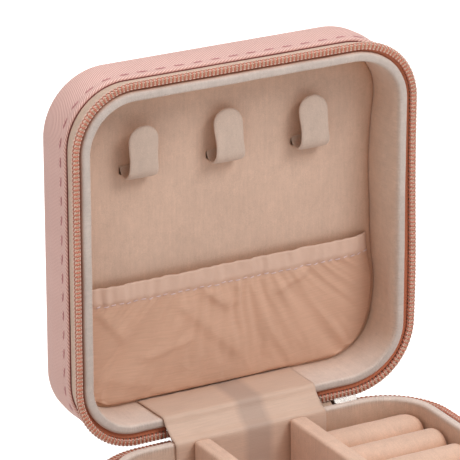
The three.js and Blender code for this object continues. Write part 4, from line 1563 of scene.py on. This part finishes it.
def build():
    """Every piece of the case. The cloth comes first, as it steps the scene's frames."""
    kept_nodes()
    pocket()
    cover("lid", lid_high[2], 0.5)
    cover("base", base_high[2], 0.0)
    for half in ("lid", "base"):
        board(half)
        gap_shade_and_edge_ring(half)
        stitches(half)
        tape(half)
        painted_shade_strip(half)
        coil(half)
    lining("lid", panel_high[2] - 0.2)
    lining("base", FLOOR_DEPTH + 0.6)
    floor_pad = padded_disc("base_floor_velvet", "base", PANEL_INSET, FLOOR_DEPTH,
                            floor_high[2] - FLOOR_DEPTH)
    place(floor_pad, "base", "velvet", "base_floor_pad")
    lid_panel()
    for side in ("left", "centre", "right"):
        hook(side)
    ribbon()
    spine()
    divider("left", 61)
    divider("right", 65)
    for number in range(1, 8):
        ring_roll(number)
    tail()
    slider()
    pull()


# ---------------------------------------------------------------- studio


def floor():
    """A pale floor that reads as white paper to the camera and still takes a soft shadow."""
    mesh = bpy.data.meshes.new("floor")
    size = 3.0
    drop = -0.0002
    corners = [(-size, -size, drop), (size, -size, drop), (size, size, drop), (-size, size, drop)]
    mesh.from_pydata(corners, [], [(0, 1, 2, 3)])
    g = Graph("floor", 0.9)
    shade = g.tint(srgb(244, 242, 240), g.noise(3.0, 2), 0.004)
    lit = g.add("ShaderNodeLightPath").outputs["Is Camera Ray"]
    glow = g.math("MULTIPLY", lit, 0.62)
    g.put(g.surface, {"Emission Color": (1, 1, 1, 1), "Emission Strength": glow})
    mesh.materials.append(g.done(shade))
    linked("floor", mesh)


def aimed(made, place_m, direction):
    """Puts a light or camera in its place and turns it to look in a direction."""
    made.location = place_m
    made.rotation_mode = "QUATERNION"
    made.rotation_quaternion = direction.to_track_quat("-Z", "Y")


def softbox(name, place_m, target_m, size, power, colour=(1, 1, 1)):
    """A square soft light."""
    light = bpy.data.lights.new(name, "AREA")
    light.energy = power
    light.size = size
    light.color = colour
    aimed(linked(name, light), place_m, Vector(target_m) - Vector(place_m))


def camera():
    """A long lens, from the front left and a little above, as in the photograph."""
    azimuth, elevation, roll = [math.radians(v) for v in (-28.675, 20.527, -0.505)]
    back = Vector((math.sin(azimuth) * math.cos(elevation),
                   -math.cos(azimuth) * math.cos(elevation), math.sin(elevation)))
    target = Vector((-4.679, 50.0, 85.251)) / MM
    distance = 0.91185
    data = bpy.data.cameras.new("camera")
    data.sensor_width = 36
    data.lens = 270.91
    data.clip_start = 0.05
    eye = linked("camera", data)
    aimed(eye, target + back * distance, -back)
    eye.rotation_quaternion @= Matrix.Rotation(roll, 3, "Z").to_quaternion()
    bpy.context.scene.camera = eye


def studio():
    """A pale world, three soft lights, the floor and the camera."""
    scene = bpy.context.scene
    world = bpy.data.worlds.new("studio")
    world.use_nodes = True
    sky = world.node_tree.nodes["Background"].inputs
    sky["Color"].default_value = (1, 0.985, 0.97, 1)
    sky["Strength"].default_value = 0.45
    scene.world = world
    scene.view_settings.view_transform = "Standard"
    centre = (0, 0.02, 0.06)
    softbox("key", (0.43, -0.73, 0.93), centre, 0.5, 6.8)
    softbox("top", (-0.15, 0.15, 1.1), centre, 0.8, 5.2)
    softbox("fill", (-0.9, -0.5, 0.45), centre, 0.8, 0.95, (1, 0.90, 0.82))
    floor()
    camera()


build()
studio()
